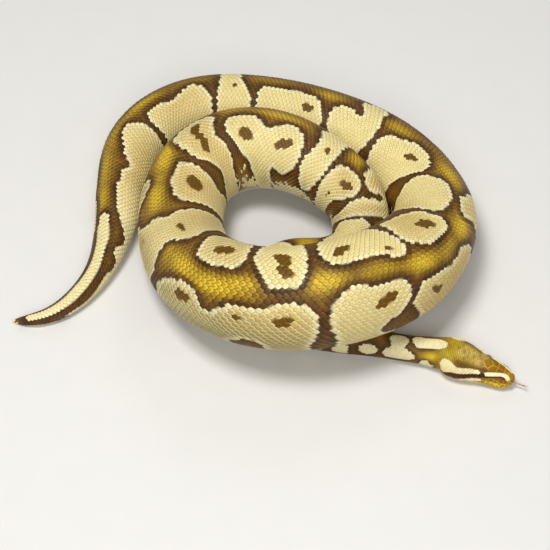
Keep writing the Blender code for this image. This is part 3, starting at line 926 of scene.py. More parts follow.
@dataclass
class HeadPattern:
    """The stripes and gold of the head, by distance and angle over it."""

    shape: OuterShape
    roll: float = 12.0
    rolling: tuple[float, float] = (28.0, 43.0)
    far_lean: float = 13.0
    far_snout: float = 1.0
    mouth_height: float = 5.6
    radius: float = 9.0
    start: float = -6.0

    def turned(self, along: Array, angle: Array) -> Array:
        """Angles in degrees from the head's own middle, which leans over at the snout."""
        return np.degrees(angle) - self.roll * ease(*self.rolling, along)

    def within(self, outline: Sequence, along: Array, degrees: Array) -> Array:
        """How far inside an outline each place is, in mm, negative outside."""
        flat = np.array((1.0, math.radians(1) * self.radius))
        return -distance_to_outline(closed_curve(outline) * flat, np.column_stack((along, degrees)) * flat)

    def mark(self, marks: Marks, distance: Array, angle: Array, firm: bool) -> None:
        """Writes the head's own markings over those of the body.

        Args:
            marks: The markings to change.
            distance: Distances from the tail's tip.
            angle: Angles from the top.
            firm: Whether the places are on scales rather than on the skin.
        """
        along = self.shape.past_neck(distance)
        head = np.flatnonzero(along > self.start)
        if not len(head):
            return
        along, angle = along[head], wrapped(angle[head])
        degrees = self.turned(along, angle)
        side = np.abs(degrees) + np.where(degrees > 0, self.far_lean, 0)
        snout_side = side - np.where(degrees < 0, 0, self.far_snout)
        edge = 0.12 if firm else 0.25
        # The pale stripes through the eye, and the dark lines along them.
        stripe = np.maximum(self.within(REAR_STRIPE, along, side), self.within(LOWER_STRIPE, along, side))
        stripe = np.maximum(stripe, self.within(SNOUT_STRIPE, along, snout_side))
        stripe = ease(-edge, edge, stripe)
        dark = np.maximum(self.within(CHEEK_LINE, along, side), self.within(SNOUT_LINE, along, snout_side))
        dark = ease(-edge, edge, dark) * (1 - stripe)
        # How far the head's markings have taken over from those of the neck.
        later = 4.5 * ease(60, 35, side)
        share = ease(0, 1, (along + 3 - later) / 4)
        slow = ease(-6, 9, along)
        # The lips, the pale and gold places of the crown, and its brown sides.
        mouth = np.degrees(self.shape.head.angle_at_height(along, np.full(len(along), self.mouth_height)))
        lip = ease(27, 33, along) * ease(64, 82, side)
        lower_lip = ease(mouth - 4, mouth + 3, side) * ease(33, 26, along)
        crown = Pattern.spots(HEAD_PALES, along * MM, degrees) * (1 - stripe)
        gold = Pattern.spots(HEAD_GLOWS, along * MM, degrees)
        speck = Pattern.spots(HEAD_SPECKS, along * MM, degrees)
        brown = ease(24, 36, side) * ease(8, 13, along) * (1 - ease(60, 66, side))
        brown = brown * ease(46, 43, along)
        pale = np.maximum(stripe, crown * (1 - dark) * (1 - 0.5 * speck))
        warm = (1 - 0.75 * brown) * (1 - dark) * (1 - 0.8 * speck) - 0.7 * dark
        glow = np.maximum(gold * (1 - brown), lip * (0.2 + 0.9 * ease(80, 92, side)))
        blends = (
            (marks.pale, share, np.maximum(pale, lower_lip * 0.9)),
            (marks.warm, np.maximum(share * (1 - crown), slow), warm),
            (marks.glow, slow, glow * (1 - dark) * (1 - speck)),
            (marks.rim, share, 1.3 * stripe),
            (marks.tan, share, 0.9 * crown),
            (marks.olive, share, 0.3 * ease(9, 2, along) * ease(60, 90, side)),
            (marks.spot, share, np.zeros(len(head))),
            (marks.belly, share, ease(118, 138, side) * (1 - 0.5 * lip)),
        )
        for values, fade, own in blends:
            values[head] = values[head] * (1 - fade) + own * fade


# Meshes in hand.
class SkinMap(StrEnum):
    """Names of the maps and values that the meshes carry."""

    BAKE = "OFBake"
    EDGE = "scale_edge"
    TONE = "scale_tone"
    FREE = "scale_free_edge"


def unrolled(corners: Array) -> Array:
    """Keeps each face that crosses the map's seam to one side of it.

    Args:
        corners: A map place for each corner of each face; an end point has none round it.

    Returns:
        The same places, one row each.
    """
    around = corners[..., 1]
    around = np.where(np.isnan(around), np.nanmin(around, axis=1)[:, None], around)
    low = (np.ptp(around, axis=1) > 0.5)[:, None] & (around < 0.5)
    return np.stack((corners[..., 0], around + low), 2).reshape(-1, 2)


def link_mesh(name: str, points: Array, faces: Sequence[Array], flat: Array | None = None,
              values: Values | None = None) -> Piece:
    """Makes a smooth mesh object.

    Args:
        name: The piece's name.
        points: Its vertices.
        faces: Arrays of faces, each with one number of corners.
        flat: Each vertex's place on the map.
        values: Numbers for each vertex, by name.

    Returns:
        The object, linked into the scene.
    """
    mesh = bpy.data.meshes.new(name)
    mesh.vertices.add(len(points))
    mesh.vertices.foreach_set("co", np.ascontiguousarray(points, dtype=np.float32).ravel())
    corners = np.concatenate([part.ravel() for part in faces]).astype(np.int32)
    counts = np.concatenate([np.full(len(part), part.shape[1]) for part in faces])
    mesh.loops.add(len(corners))
    mesh.loops.foreach_set("vertex_index", corners)
    mesh.polygons.add(len(counts))
    mesh.polygons.foreach_set("loop_start", running(counts[:-1]).astype(np.int32))
    if flat is not None:
        places = np.vstack([unrolled(flat[part]) for part in faces]).astype(np.float32)
        mesh.uv_layers.new(name=SkinMap.BAKE).data.foreach_set("uv", places.ravel())
    mesh.update(calc_edges=True)
    for key, numbers in (values or {}).items():
        layer = mesh.attributes.new(key, "FLOAT", "POINT")
        layer.data.foreach_set("value", np.ascontiguousarray(numbers, dtype=np.float32))
    mesh.validate()
    mesh.shade_smooth()
    piece = bpy.data.objects.new(name, mesh)
    bpy.context.scene.collection.objects.link(piece)
    return piece


@dataclass
class CoatPlan:
    """How big and how deep the scales are along the body."""

    # Distance in cm, and space between rows across the body in mm.
    row_space: Sequence = (
        (0, 1.2), (3, 1.9), (6, 2.2), (10, 2.35), (25, 2.5), (45, 2.65), (60, 2.75), (70, 2.65),
        (80, 2.4), (88, 2.05), (94, 1.75), (100, 1.55), (108, 1.4), (113, 1.38), (119, 1.25),
    )
    # Distance in cm, and length of a scale's place over the space between rows.
    stretch: Sequence = (
        (0, 1.4), (6, 1.3), (14, 1.2), (40, 1.16), (70, 1.16), (84, 1.24), (113, 1.2), (119, 1.12),
    )
    # Distance in cm, and depth of the coat in mm.
    depths: Sequence = (
        (0, .2), (3, .36), (8, .46), (14, .52), (25, .58), (80, .56), (94, .42), (104, .34),
        (113, .28), (119, .26),
    )
    # The rows' space on the middle of the back and low on the flank, over the plan's own,
    # and the angles from the back between which it changes.
    back_share: float = 1.14
    flank_share: float = 0.86
    narrowing: tuple[float, float] = (18.0, 70.0)

    def across(self, distance: Array) -> Array:
        """Space between rows."""
        return read_table(self.row_space, distance / CM) * MM

    def share(self, distance: Array, from_back: Array) -> Array:
        """Finds how the space between rows changes round the body.

        Args:
            distance: Distances from the tail's tip.
            from_back: Angles from the back in degrees.

        Returns:
            The space there over the plan's own.
        """
        trunk = ease(4, 14, distance / CM) * ease(112, 98, distance / CM)
        low = ease(*self.narrowing, np.abs(from_back))
        return 1 + trunk * (self.back_share - 1 + (self.flank_share - self.back_share) * low)

    def along(self, distance: Array) -> Array:
        """Space between the scales of one row."""
        return self.across(distance) * read_table(self.stretch, distance / CM)

    def depth(self, distance: Array) -> Array:
        """Depth of the coat over the skin."""
        return read_table(self.depths, distance / CM) * MM


class Plate(NamedTuple):
    """One large plate of the head: mm along it, degrees from its top, and spread in mm."""

    along: float
    angle: float
    spread: float


# Plates on the middle line and on the left half; the right half mirrors them.
MIDDLE_PLATES = (Plate(30.2, 0, 1.5), Plate(46.9, 0, 1.2), Plate(46.4, 178, .8), Plate(25.2, 0, .1))
SIDE_PLATES = (
    Plate(26.6, 17, .5), Plate(28.8, 43, 1.0), Plate(34.4, 17, .9), Plate(38.9, 23, 1.15),
    Plate(42.9, 26, .8), Plate(43.9, 60, .35), Plate(41.3, 62, .3), Plate(38.2, 54, .4),
    Plate(35.5, 50, .25), Plate(37.8, 73, .15), Plate(35.0, 71, .15), Plate(40.6, 79, .1),
    Plate(32.6, 53, .3), Plate(32.4, 68, .15), Plate(24.6, 40, .1), Plate(24.4, 30, .1),
    Plate(31.0, 80, 0), Plate(33.6, 83, 0), Plate(36.6, 84, 0), Plate(39.2, 86, 0),
)


@dataclass
class HeadPlates:
    """The plates of the face: lips, snout, brows and chin. Its own sizes are in mm."""

    shape: OuterShape
    mouth: Sequence = ((0, 7.6), (9, 7.2), (18, 6.2), (27, 5.2), (35, 4.9), (44, 5.2), (52, 5.4))
    mouth_corner: float = 11.0
    plated_from: float = 24.0
    lip_height: float = 3.1
    # Rows of plates above and below the mouth: how many, where the first is, the space
    # between them, how far they are above the mouth, and their spread.
    lip_rows: Sequence = ((12, 45.2, 2.95, 1.45, 0.25), (14, 44.6, 2.45, -1.2, 0.1))
    # Rows of scales under the chin: how many, how many in each, where the first is, the
    # space between them, the first row's angle and the angle between rows in degrees.
    chin_rows: Sequence = (4, 10, 43.5, 2.3, 178, 16)
    groove: float = 0.13
    groove_width: float = 0.2
    edge_width: float = 0.22
    dome: float = 0.16
    dome_width: float = 0.5
    eye: Triple = (28.6, 6.15, 11.2)
    eye_radius: float = 2.35
    eye_back: float = -1.5
    nostril: Triple = (44.2, 4.7, 9.6)
    pit_places: Sequence = (47.0, 44.6, 41.7, 38.8, 36.0)
    pit_height: float = 1.6
    jaw_radius: float = 8.0
    lowest_mouth: float = math.radians(112)
    # How high each ridge or how deep each dip is, where it is, and how wide.
    lip_swell: Triple = (0.12, 0.55, 0.3)
    mouth_cut: Triple = (0.75, 0.0, 0.17)
    nostril_rim: Triple = (0.14, 1.0, 0.35)
    pit: Triple = (0.32, 0.0, 0.42)
    lids: Triple = (0.22, 2.15, 0.32)
    # How deep each hole is, and the distances at which its wall starts and ends.
    nostril_hole: Triple = (0.8, 0.62, 0.3)
    eye_socket: Triple = (1.6, 1.95, 1.6)

    def __post_init__(self) -> None:
        """Places the middle of every plate."""
        chosen = [(along, angle * sign, spread) for along, angle, spread in SIDE_PLATES for sign in (1, -1)]
        chosen += list(MIDDLE_PLATES)
        for count, first, space, above, spread in self.lip_rows:
            for step in range(count):
                chosen += self.beside_mouth(first - space * step, above, spread)
        rows, count, first, space, low, turn = self.chin_rows
        for row in range(rows):
            for step in range(count):
                along = first - space * step - space / 2 * (row % 2)
                chosen += [(along, sign * (low - turn * row), 0.0) for sign in (1, -1)]
        rows = np.array(chosen)
        self.spreads = rows[:, 2]
        self.middles = self.shape.head.own_mm(rows[:, 0], np.radians(rows[:, 1]))
        self.tones = np.random.default_rng(11).uniform(-1, 1, len(rows))
        place, height = np.array([self.eye[0]]), np.array([self.eye[2]])
        eye_angle = self.shape.head.angle_at_height(place, height)
        _, outward, _ = self.shape.frame(self.shape.line.length + place * MM, eye_angle)
        self.looks = outward[0] @ self.shape.head.axes.T

    def mouth_height(self, along: Array) -> Array:
        """Height of the mouth line."""
        return read_table(self.mouth, along)

    def above_mouth(self, along: float, above: float) -> Array:
        """Angle from the top of one place, some way above the mouth line."""
        place = np.array([along])
        return self.shape.head.angle_at_height(place, self.mouth_height(place) + above)

    def beside_mouth(self, along: float, above: float, spread: float) -> list[tuple[float, float, float]]:
        """A pair of lip plates, some way above the mouth line."""
        angle = math.degrees(self.above_mouth(along, above)[0])
        return [(along, angle, spread), (along, -angle, spread)]

    def mouth_angle(self, along: Array) -> Array:
        """Angle of the mouth line."""
        angle = self.shape.head.angle_at_height(along, self.mouth_height(along))
        return np.minimum(angle, self.lowest_mouth)

    def plated(self, along: Array, angle: Array) -> Array:
        """Finds how much each place belongs to the plated face.

        Args:
            along: Distances from the back of the head.
            angle: Angles from the top.

        Returns:
            A share from 0 to 1 for each.
        """
        own = self.shape.head.own_mm(np.maximum(along, 0), angle)
        above = own[:, 2] - self.mouth_height(along)
        lips = ease(self.lip_height + .5, self.lip_height - .3, np.abs(above))
        lips = lips * ease(60, 72, np.degrees(np.abs(wrapped(angle))))
        lips *= ease(self.mouth_corner - 2, self.mouth_corner + 1, along)
        return np.maximum(lips, ease(self.plated_from - .7, self.plated_from + .7, along))

    def read(self, along: Array, angle: Array) -> tuple[Array, Array, Array]:
        """Reads the plates.

        Args:
            along: Distances from the back of the head.
            angle: Angles from the top.

        Returns:
            Height over the head's shape, nearness to a plate's edge, and each plate's tone.
        """
        own = self.shape.head.own_mm(along, angle)
        inside, tone = np.zeros(len(own)), np.zeros(len(own))
        for part in np.array_split(np.arange(len(own)), max(1, len(own) // 8000)):
            away = np.linalg.norm(own[part, None] - self.middles[None], axis=2) - self.spreads
            order = np.argpartition(away, 1, axis=1)[:, :2]
            two = np.take_along_axis(away, order, 1)
            inside[part] = np.abs(two[:, 0] - two[:, 1]) / 2
            tone[part] = self.tones[np.where(two[:, 0] < two[:, 1], order[:, 0], order[:, 1])]
        dome = -self.dome * np.exp(-inside / self.dome_width)
        height = dome - self.groove * bell(inside, self.groove_width) + self.details(own, along, angle)
        return height, bell(inside, self.edge_width), tone

    def details(self, own: Array, along: Array, angle: Array) -> Array:
        """Shapes the mouth groove, pits, nostrils and eye rims.

        Args:
            own: The places in the head's own frame.
            along: Their distances from the back of the head.
            angle: Their angles from the top.

        Returns:
            The height of each place over the plates.
        """
        arc = (np.abs(angle) - self.mouth_angle(along)) * self.jaw_radius
        fade = ease(self.mouth_corner - 1, self.mouth_corner + 3, along)
        height = fade * (ridge(np.abs(arc), *self.lip_swell) - ridge(arc, *self.mouth_cut))
        mirrored = own * (1, 0, 1) + np.abs(own) * (0, 1, 0)
        to_nostril = np.linalg.norm(mirrored - np.array(self.nostril), axis=1)
        depth, *wall = self.nostril_hole
        height += -depth * ease(*wall, to_nostril) + ridge(to_nostril, *self.nostril_rim)
        for place in self.pit_places:
            middle = self.shape.head.own_mm(np.array([place]), self.above_mouth(place, self.pit_height))
            height -= ridge(np.linalg.norm(mirrored - np.abs(middle), axis=1), *self.pit)
        reach = mirrored - np.array(self.eye)
        forward = reach @ self.looks
        from_axis = np.linalg.norm(reach - forward[:, None] * self.looks, axis=1)
        from_axis[forward <= self.eye_back] = np.inf
        depth, *wall = self.eye_socket
        return height - depth * ease(*wall, from_axis) + ridge(from_axis, *self.lids)


@dataclass
class Hide:
    """What the skin and the coat share: the shape, the plans and the markings."""

    shape: OuterShape
    plan: CoatPlan
    plates: HeadPlates
    pattern: Pattern
    head_pattern: HeadPattern

    def marks(self, distance: Array, angle: Array, firm: bool, palest: Array | float = 0) -> Values:
        """Reads the markings of the body and the head.

        Args:
            distance: Distances from the tail's tip.
            angle: Angles from the top.
            firm: Whether the places are on scales rather than on the skin.
            palest: How pale each place of the body is at least.

        Returns:
            The markings by the names that the finish reads.
        """
        marks = self.pattern.read(distance, angle, firm)
        marks.pale = np.maximum(marks.pale, palest)
        self.head_pattern.mark(marks, distance, angle, firm)
        return {f"mark_{name}": values for name, values in vars(marks).items()}


@dataclass
class Skin(Hide):
    """The one skin from tail to snout, with the plates of the face raised in it."""

    columns: int = 96
    finer: int = 3
    body_step: float = 3.1 * MM
    head_step: float = 0.26 * MM
    fine_before: float = 2.0 * MM
    sinking: float = 0.06 * MM
    tip_rings: Sequence = (0.0, 0.5, 1.2, 2.2, 3.5)
    tip_end: float = 0.3 * MM
    snout_end: float = 0.02 * MM

    def ring_places(self) -> tuple[Array, Array]:
        """Spaces the rings of the skin.

        Returns:
            Distances of the coarse rings of the body and of the fine rings of the head.
        """
        line, head = self.shape.line, self.shape.head
        fine_start = line.length - self.fine_before
        coarse = np.arange(5 * MM, fine_start - self.body_step * 0.4, self.body_step)
        last = line.length + head.last
        fine = np.arange(fine_start, last, self.head_step)
        snout = last + (head.length - head.last) * np.sin(np.linspace(0, math.pi / 2, 16))
        return np.concatenate((np.array(self.tip_rings) * MM, coarse)), np.concatenate((fine, snout[:-1]))

    def fine_angles(self, distance: Array) -> Array:
        """Spaces the fine columns, drawn together at the mouth line.

        Args:
            distance: The rings' distances.

        Returns:
            Their angles, a row for each ring.
        """
        turn = np.linspace(-math.pi, math.pi, self.columns * self.finer, endpoint=False)
        along = self.shape.past_neck(distance)
        mouth = self.plates.mouth_angle(np.maximum(along, 0))
        near, knots = math.radians(5), np.radians((0, 80, 100, 180))
        angles = []
        for place, drawn in zip(mouth, ease(-1, 9, along)):
            pulled = np.interp(np.abs(turn), knots, (0, place - near, place + near, math.pi))
            angles.append(np.sign(turn) * (np.abs(turn) * (1 - drawn) + pulled * drawn))
        return np.array(angles)

    def dress(self, distance: Array, angle: Array) -> tuple[Array, Values]:
        """Raises the plates and reads the markings.

        Args:
            distance: Distances from the tail's tip.
            angle: Angles from the top.

        Returns:
            Points of the skin at its own height, and the values it carries.
        """
        along = self.shape.past_neck(distance)
        height = -self.plan.depth(distance) - self.sinking
        edge, tone, free = np.zeros((3, len(distance)))
        plated = self.plates.plated(along, angle)
        face = np.flatnonzero(plated)
        share = plated[face]
        relief, plate_edge, plate_tone = self.plates.read(along[face], angle[face])
        height[face] = height[face] * (1 - share) + relief * MM * share
        edge[face], tone[face] = plate_edge * share, plate_tone * share
        values = {SkinMap.EDGE: edge, SkinMap.TONE: tone, SkinMap.FREE: free}
        return self.shape.place(distance, angle, height), values | self.marks(distance, angle, False)

    def build(self) -> Piece:
        """Builds the skin.

        Returns:
            The skin's mesh object.
        """
        coarse, fine = self.ring_places()
        few, many = self.columns, self.columns * self.finer
        turn = np.linspace(-math.pi, math.pi, few, endpoint=False)
        distance = np.concatenate((np.repeat(coarse, few), np.repeat(fine, many)))
        angle = np.concatenate((np.tile(turn, len(coarse)), self.fine_angles(fine).ravel()))
        points, values = self.dress(distance, angle)
        start, count = len(coarse) * few, len(points)
        faces = [ring_quads(len(coarse), few), ring_quads(len(fine), many, start), *self.join(start),
                 fan(count, np.arange(few)), fan(count + 1, np.arange(count - many, count))[:, (1, 0, 2)]]
        tail = points[:few].mean(0) - self.shape.line.at(np.zeros(1)).ahead[0] * self.tip_end
        snout = points[-many:].mean(0) + self.shape.head.axes[0] * self.snout_end
        around = np.concatenate([np.tile(np.arange(size) / size, len(rings))
                                 for size, rings in ((few, coarse), (many, fine))])
        flat = np.column_stack((distance / self.shape.length, around))
        values = {key: np.append(one, (one[0], one[-1])) for key, one in values.items()}
        points = np.vstack((points, tail, snout))
        return link_mesh("skin", points, faces, np.vstack((flat, (0.0, np.nan), (1.0, np.nan))), values)

    def join(self, start: int) -> list[Array]:
        """Joins the last coarse ring to the first fine one.

        Args:
            start: The number of the first fine vertex.

        Returns:
            Two triangles and a quad for each column.
        """
        column = np.arange(self.columns)
        coarse, coarse_after = (start - self.columns + ring for ring in (column, (column + 1) % self.columns))
        many = self.columns * self.finer
        fine = [start + (column * self.finer + step) % many for step in range(self.finer + 1)]
        return [np.column_stack((coarse, fine[0], fine[1])),
                np.column_stack((coarse, fine[1], fine[2], coarse_after)),
                np.column_stack((coarse_after, fine[2], fine[3]))]


# The scaly coat.
class Seats(NamedTuple):
    """Where scales sit: distance, angle, and the space each has across and along."""

    distance: Array
    angle: Array
    across: Array
    along: Array

    def chosen(self, keep: Array) -> "Seats":
        """The seats that a mask or a list of numbers keeps."""
        return Seats(*(values[keep] for values in self))


@dataclass
class ScaleShape:
    """The outline and section of one overlapping scale, in shares of its own space."""

    corners: int = 10
    roundness: float = 1.6
    tip_roundness: float = 1.35
    widen: float = 1.05
    free_tip: float = 0.57
    hidden_front: float = 0.60
    shoulder: float = 0.78
    under: float = 0.74
    thickness: float = 0.36
    dome: float = 0.32
    tilt: float = 0.72

    def __post_init__(self) -> None:
        """Works out every vertex: its middle, its shoulder, its rim and its underside.

        A place is a share along, which is positive towards the tail, a share across and
        a share of the way out; its height is a share of the coat's depth.
        """
        turn = 2 * math.pi * np.arange(self.corners) / self.corners
        along, across = np.cos(turn), np.sin(turn)
        power = 2 / np.where(along > 1e-6, self.tip_roundness, self.roundness)
        along = np.sign(along) * np.abs(along) ** power
        along = along * np.where(along > 0, self.free_tip, self.hidden_front)
        across = np.sign(across) * np.abs(across) ** power
        outline = np.column_stack((along, across, np.ones(self.corners)))
        rings = [outline * size for size in (self.shoulder, 1.0, self.under)]
        self.places = np.vstack((np.zeros((1, 3)), *rings))
        slope = (self.places[:, 0] - self.free_tip) / (self.free_tip + self.hidden_front)
        drop = np.repeat((0, .25, 1), (1 + self.corners, self.corners, self.corners))
        self.heights = (slope * self.tilt + self.dome * (np.cos(self.places[:, 2] * math.pi / 2) - 1)
                        - drop * self.thickness)

    def faces(self) -> list[Array]:
        """Joins the vertices of one scale.

        Returns:
            Vertex numbers of its triangles, its quads and its underside.
        """
        ring = 1 + np.arange(self.corners)
        underside = (ring + 2 * self.corners)[::-1][None]
        return [part[:, ::-1] for part in (fan(0, ring), ring_quads(3, self.corners, 1), underside)]


def repeated(faces: Sequence[Array], number: int, size: int) -> list[Array]:
    """The faces of one small solid of some vertices, for a number of such solids."""
    first = (np.arange(number) * size)[:, None, None]
    return [(first + part[None]).reshape(-1, part.shape[1]) for part in faces]


@dataclass
class ScaleCoat(Hide):
    """Rows of overlapping scales over the back, the flanks and the back of the head."""

    scale: ScaleShape = field(default_factory=ScaleShape)
    most_in_piece: int = 3400
    patch: float = 0.003
    mark_share: float = 0.26
    head_mark_share: float = 0.75
    seed: int = 5
    grid_step: float = 1.0 * MM
    first_place: float = 2.2 * MM
    most_rows: int = 50
    # How much the scales differ in turn, size and height, and how deep they sit.
    spin: float = math.radians(2.2)
    growth: float = 0.02
    lift: float = 0.018 * MM
    sinking: float = 0.02 * MM
    deepest: float = 1.35
    # Distance in cm, and half the angle that the belly plates take up, in degrees.
    belly_share: Sequence = ((0, 30), (12, 34), (13, 27), (108, 27), (113, 33), (114.2, 12), (114.6, 0))

    def belly_half(self, distance: Array) -> Array:
        """Half the angle that the belly plates take up, in degrees."""
        return read_table(self.belly_share, distance / CM)

    def row_angles(self, grid: Array, rows: Array) -> tuple[Array, Array]:
        """Lays the rows side by side round the body.

        Args:
            grid: Distances from the tail's tip.
            rows: The rows' numbers, counted from the middle of the back.

        Returns:
            The angle of every row at every distance, and whether the row is there.
        """
        turn = np.radians(np.arange(-180, 181, 2.5))
        roll = self.pattern.roll(grid)
        around = np.repeat(roll, len(turn)) + np.tile(turn, len(grid))
        points = self.shape.base(np.repeat(grid, len(turn)), around).reshape(len(grid), len(turn), 3)
        shares = self.plan.share(grid[:, None], np.degrees((turn[1:] + turn[:-1]) / 2)[None])
        arc = np.cumsum(np.linalg.norm(np.diff(points, axis=1), axis=2) / shares, axis=1)
        arc = np.hstack((np.zeros((len(grid), 1)), arc))
        arc -= arc[:, [len(turn) // 2]]
        wanted = rows[None] * self.plan.across(grid)[:, None]
        angles = np.array([np.interp(want, run, turn) for want, run in zip(wanted, arc)])
        return angles + roll[:, None], (wanted > arc[:, :1]) & (wanted < arc[:, -1:])

    def seats(self) -> Seats:
        """Lays out the rows of scales.

        Returns:
            A seat for each scale, in order from the tail's tip.
        """
        end = self.shape.line.length + self.plates.plated_from * MM
        grid = np.arange(self.first_place, end, self.grid_step)
        count = running(self.grid_step / self.plan.along(grid[:-1]))
        rows = np.arange(-self.most_rows, self.most_rows + 1)
        angles, there = self.row_angles(grid, rows)
        found = []
        for row, row_angle, row_there in zip(rows, angles.T, there.T):
            distance = np.interp(np.arange(0.5 * (row % 2), count[-1]), count, grid)
            inside = np.interp(distance, grid, row_there.astype(float)) > 0.5
            found.append(np.column_stack((distance, np.interp(distance, grid, row_angle)))[inside])
        places = np.vstack(found)
        distance, angle = places[np.argsort(places[:, 0], kind="stable")].T
        from_back = np.degrees(np.abs(self.pattern.from_back(distance, angle)))
        keep = from_back < 180.5 - self.belly_half(distance)
        keep &= self.plates.plated(self.shape.past_neck(distance), angle) < 0.4
        across = self.plan.across(distance) * self.plan.share(distance, from_back)
        return Seats(distance, angle, across, self.plan.along(distance)).chosen(keep)

    def mesh(self, name: str, seats: Seats, generator: np.random.Generator) -> Piece:
        """Builds one piece of the coat.

        Args:
            name: The piece's name.
            seats: Where its scales sit.
            generator: The source of the small differences between scales.

        Returns:
            The piece's mesh object.
        """
        number, size = len(seats.distance), len(self.scale.places)
        back_share, out_share, way_out = self.scale.places.T
        seat_distance, seat_angle, across, along = (one[:, None] for one in seats)
        _, _, metric = self.shape.frame(seats.distance, seats.angle)
        half_width = (across ** 2 + (along / 2) ** 2) / (2 * across) * self.scale.widen
        spin = generator.normal(0, self.spin, (number, 1))
        grow = generator.normal(1, self.growth, (number, 1))
        back, out = back_share * along * grow, out_share * half_width * grow
        back, out = back * np.cos(spin) - out * np.sin(spin), back * np.sin(spin) + out * np.cos(spin)
        distance = seat_distance - back
        angle = seat_angle + out / np.maximum(metric, 0.5 * MM)[:, None]
        depth = self.plan.depth(seat_distance)
        height = depth * self.scale.heights - self.sinking + generator.normal(0, self.lift, (number, 1))
        height = np.clip(height, -depth * self.deepest, 0)
        points = self.shape.place(distance.ravel(), angle.ravel(), height.ravel())
        tone = generator.uniform(-1, 1, number)
        values = self.marks_on(distance, angle, seats, tone)
        values[SkinMap.TONE] = np.repeat(tone, size)
        values[SkinMap.EDGE] = np.tile(way_out ** 3, number)
        values[SkinMap.FREE] = np.tile(back_share / self.scale.free_tip, number)
        start, end = seats.distance.min(), seats.distance.max() + 1e-6
        root = np.column_stack(((seats.distance - start) / (end - start),
                                (seats.angle + math.pi) / (2 * math.pi) % 1.0)) * 0.99 + 0.005
        patch = root[:, None] + self.scale.places[None, :, :2] * (-1.0, 0.5) * self.patch
        faces = repeated(self.scale.faces(), number, size)
        return link_mesh(name, points, faces, patch.reshape(-1, 2), values)

    def marks_on(self, distance: Array, angle: Array, seats: Seats, chance: Array) -> Values:
        """Reads the markings at each vertex, part of the way back to its scale's middle.

        Args:
            distance: Distances of the vertices, a row for each scale.
            angle: Angles of the vertices.
            seats: Where the scales sit.
            chance: A number from -1 to 1 for each scale, which settles whether it is a fleck.

        Returns:
            The values of each marking.
        """
        ring = 1 + np.arange(self.scale.corners)
        read = np.concatenate(([0], ring + self.scale.corners))
        on_head = seats.distance > self.shape.line.length + 2 * MM
        share = np.where(on_head, self.head_mark_share, self.mark_share)[:, None]
        places = [(middle[:, None] * (1 - share) + given[:, read] * share).ravel()
                  for middle, given in ((seats.distance, distance), (seats.angle, angle))]
        flecks = np.repeat(self.pattern.flecks(seats.distance, seats.angle, chance), len(read))
        marks = self.marks(*places, True, flecks)
        spread = np.concatenate(([0], ring, ring, ring))
        return {key: one.reshape(len(share), -1)[:, spread].ravel() for key, one in marks.items()}

    def build(self) -> list[Piece]:
        """Builds every piece of the coat.

        Returns:
            The pieces, from the tail forwards, and the head's last.
        """
        seats = self.seats()
        generator = np.random.default_rng(self.seed)
        on_head = seats.distance > self.shape.line.length - 2 * MM
        body = np.flatnonzero(~on_head)
        parts = np.array_split(body, math.ceil(len(body) / self.most_in_piece))
        pieces = [self.mesh(f"back_scales_{number:02d}", seats.chosen(part), generator)
                  for number, part in enumerate(parts, start=1)]
        LOG.info("%d scales in %d pieces", len(seats.distance), len(parts) + 1)
        return pieces + [self.mesh("head_scales", seats.chosen(on_head), generator)]


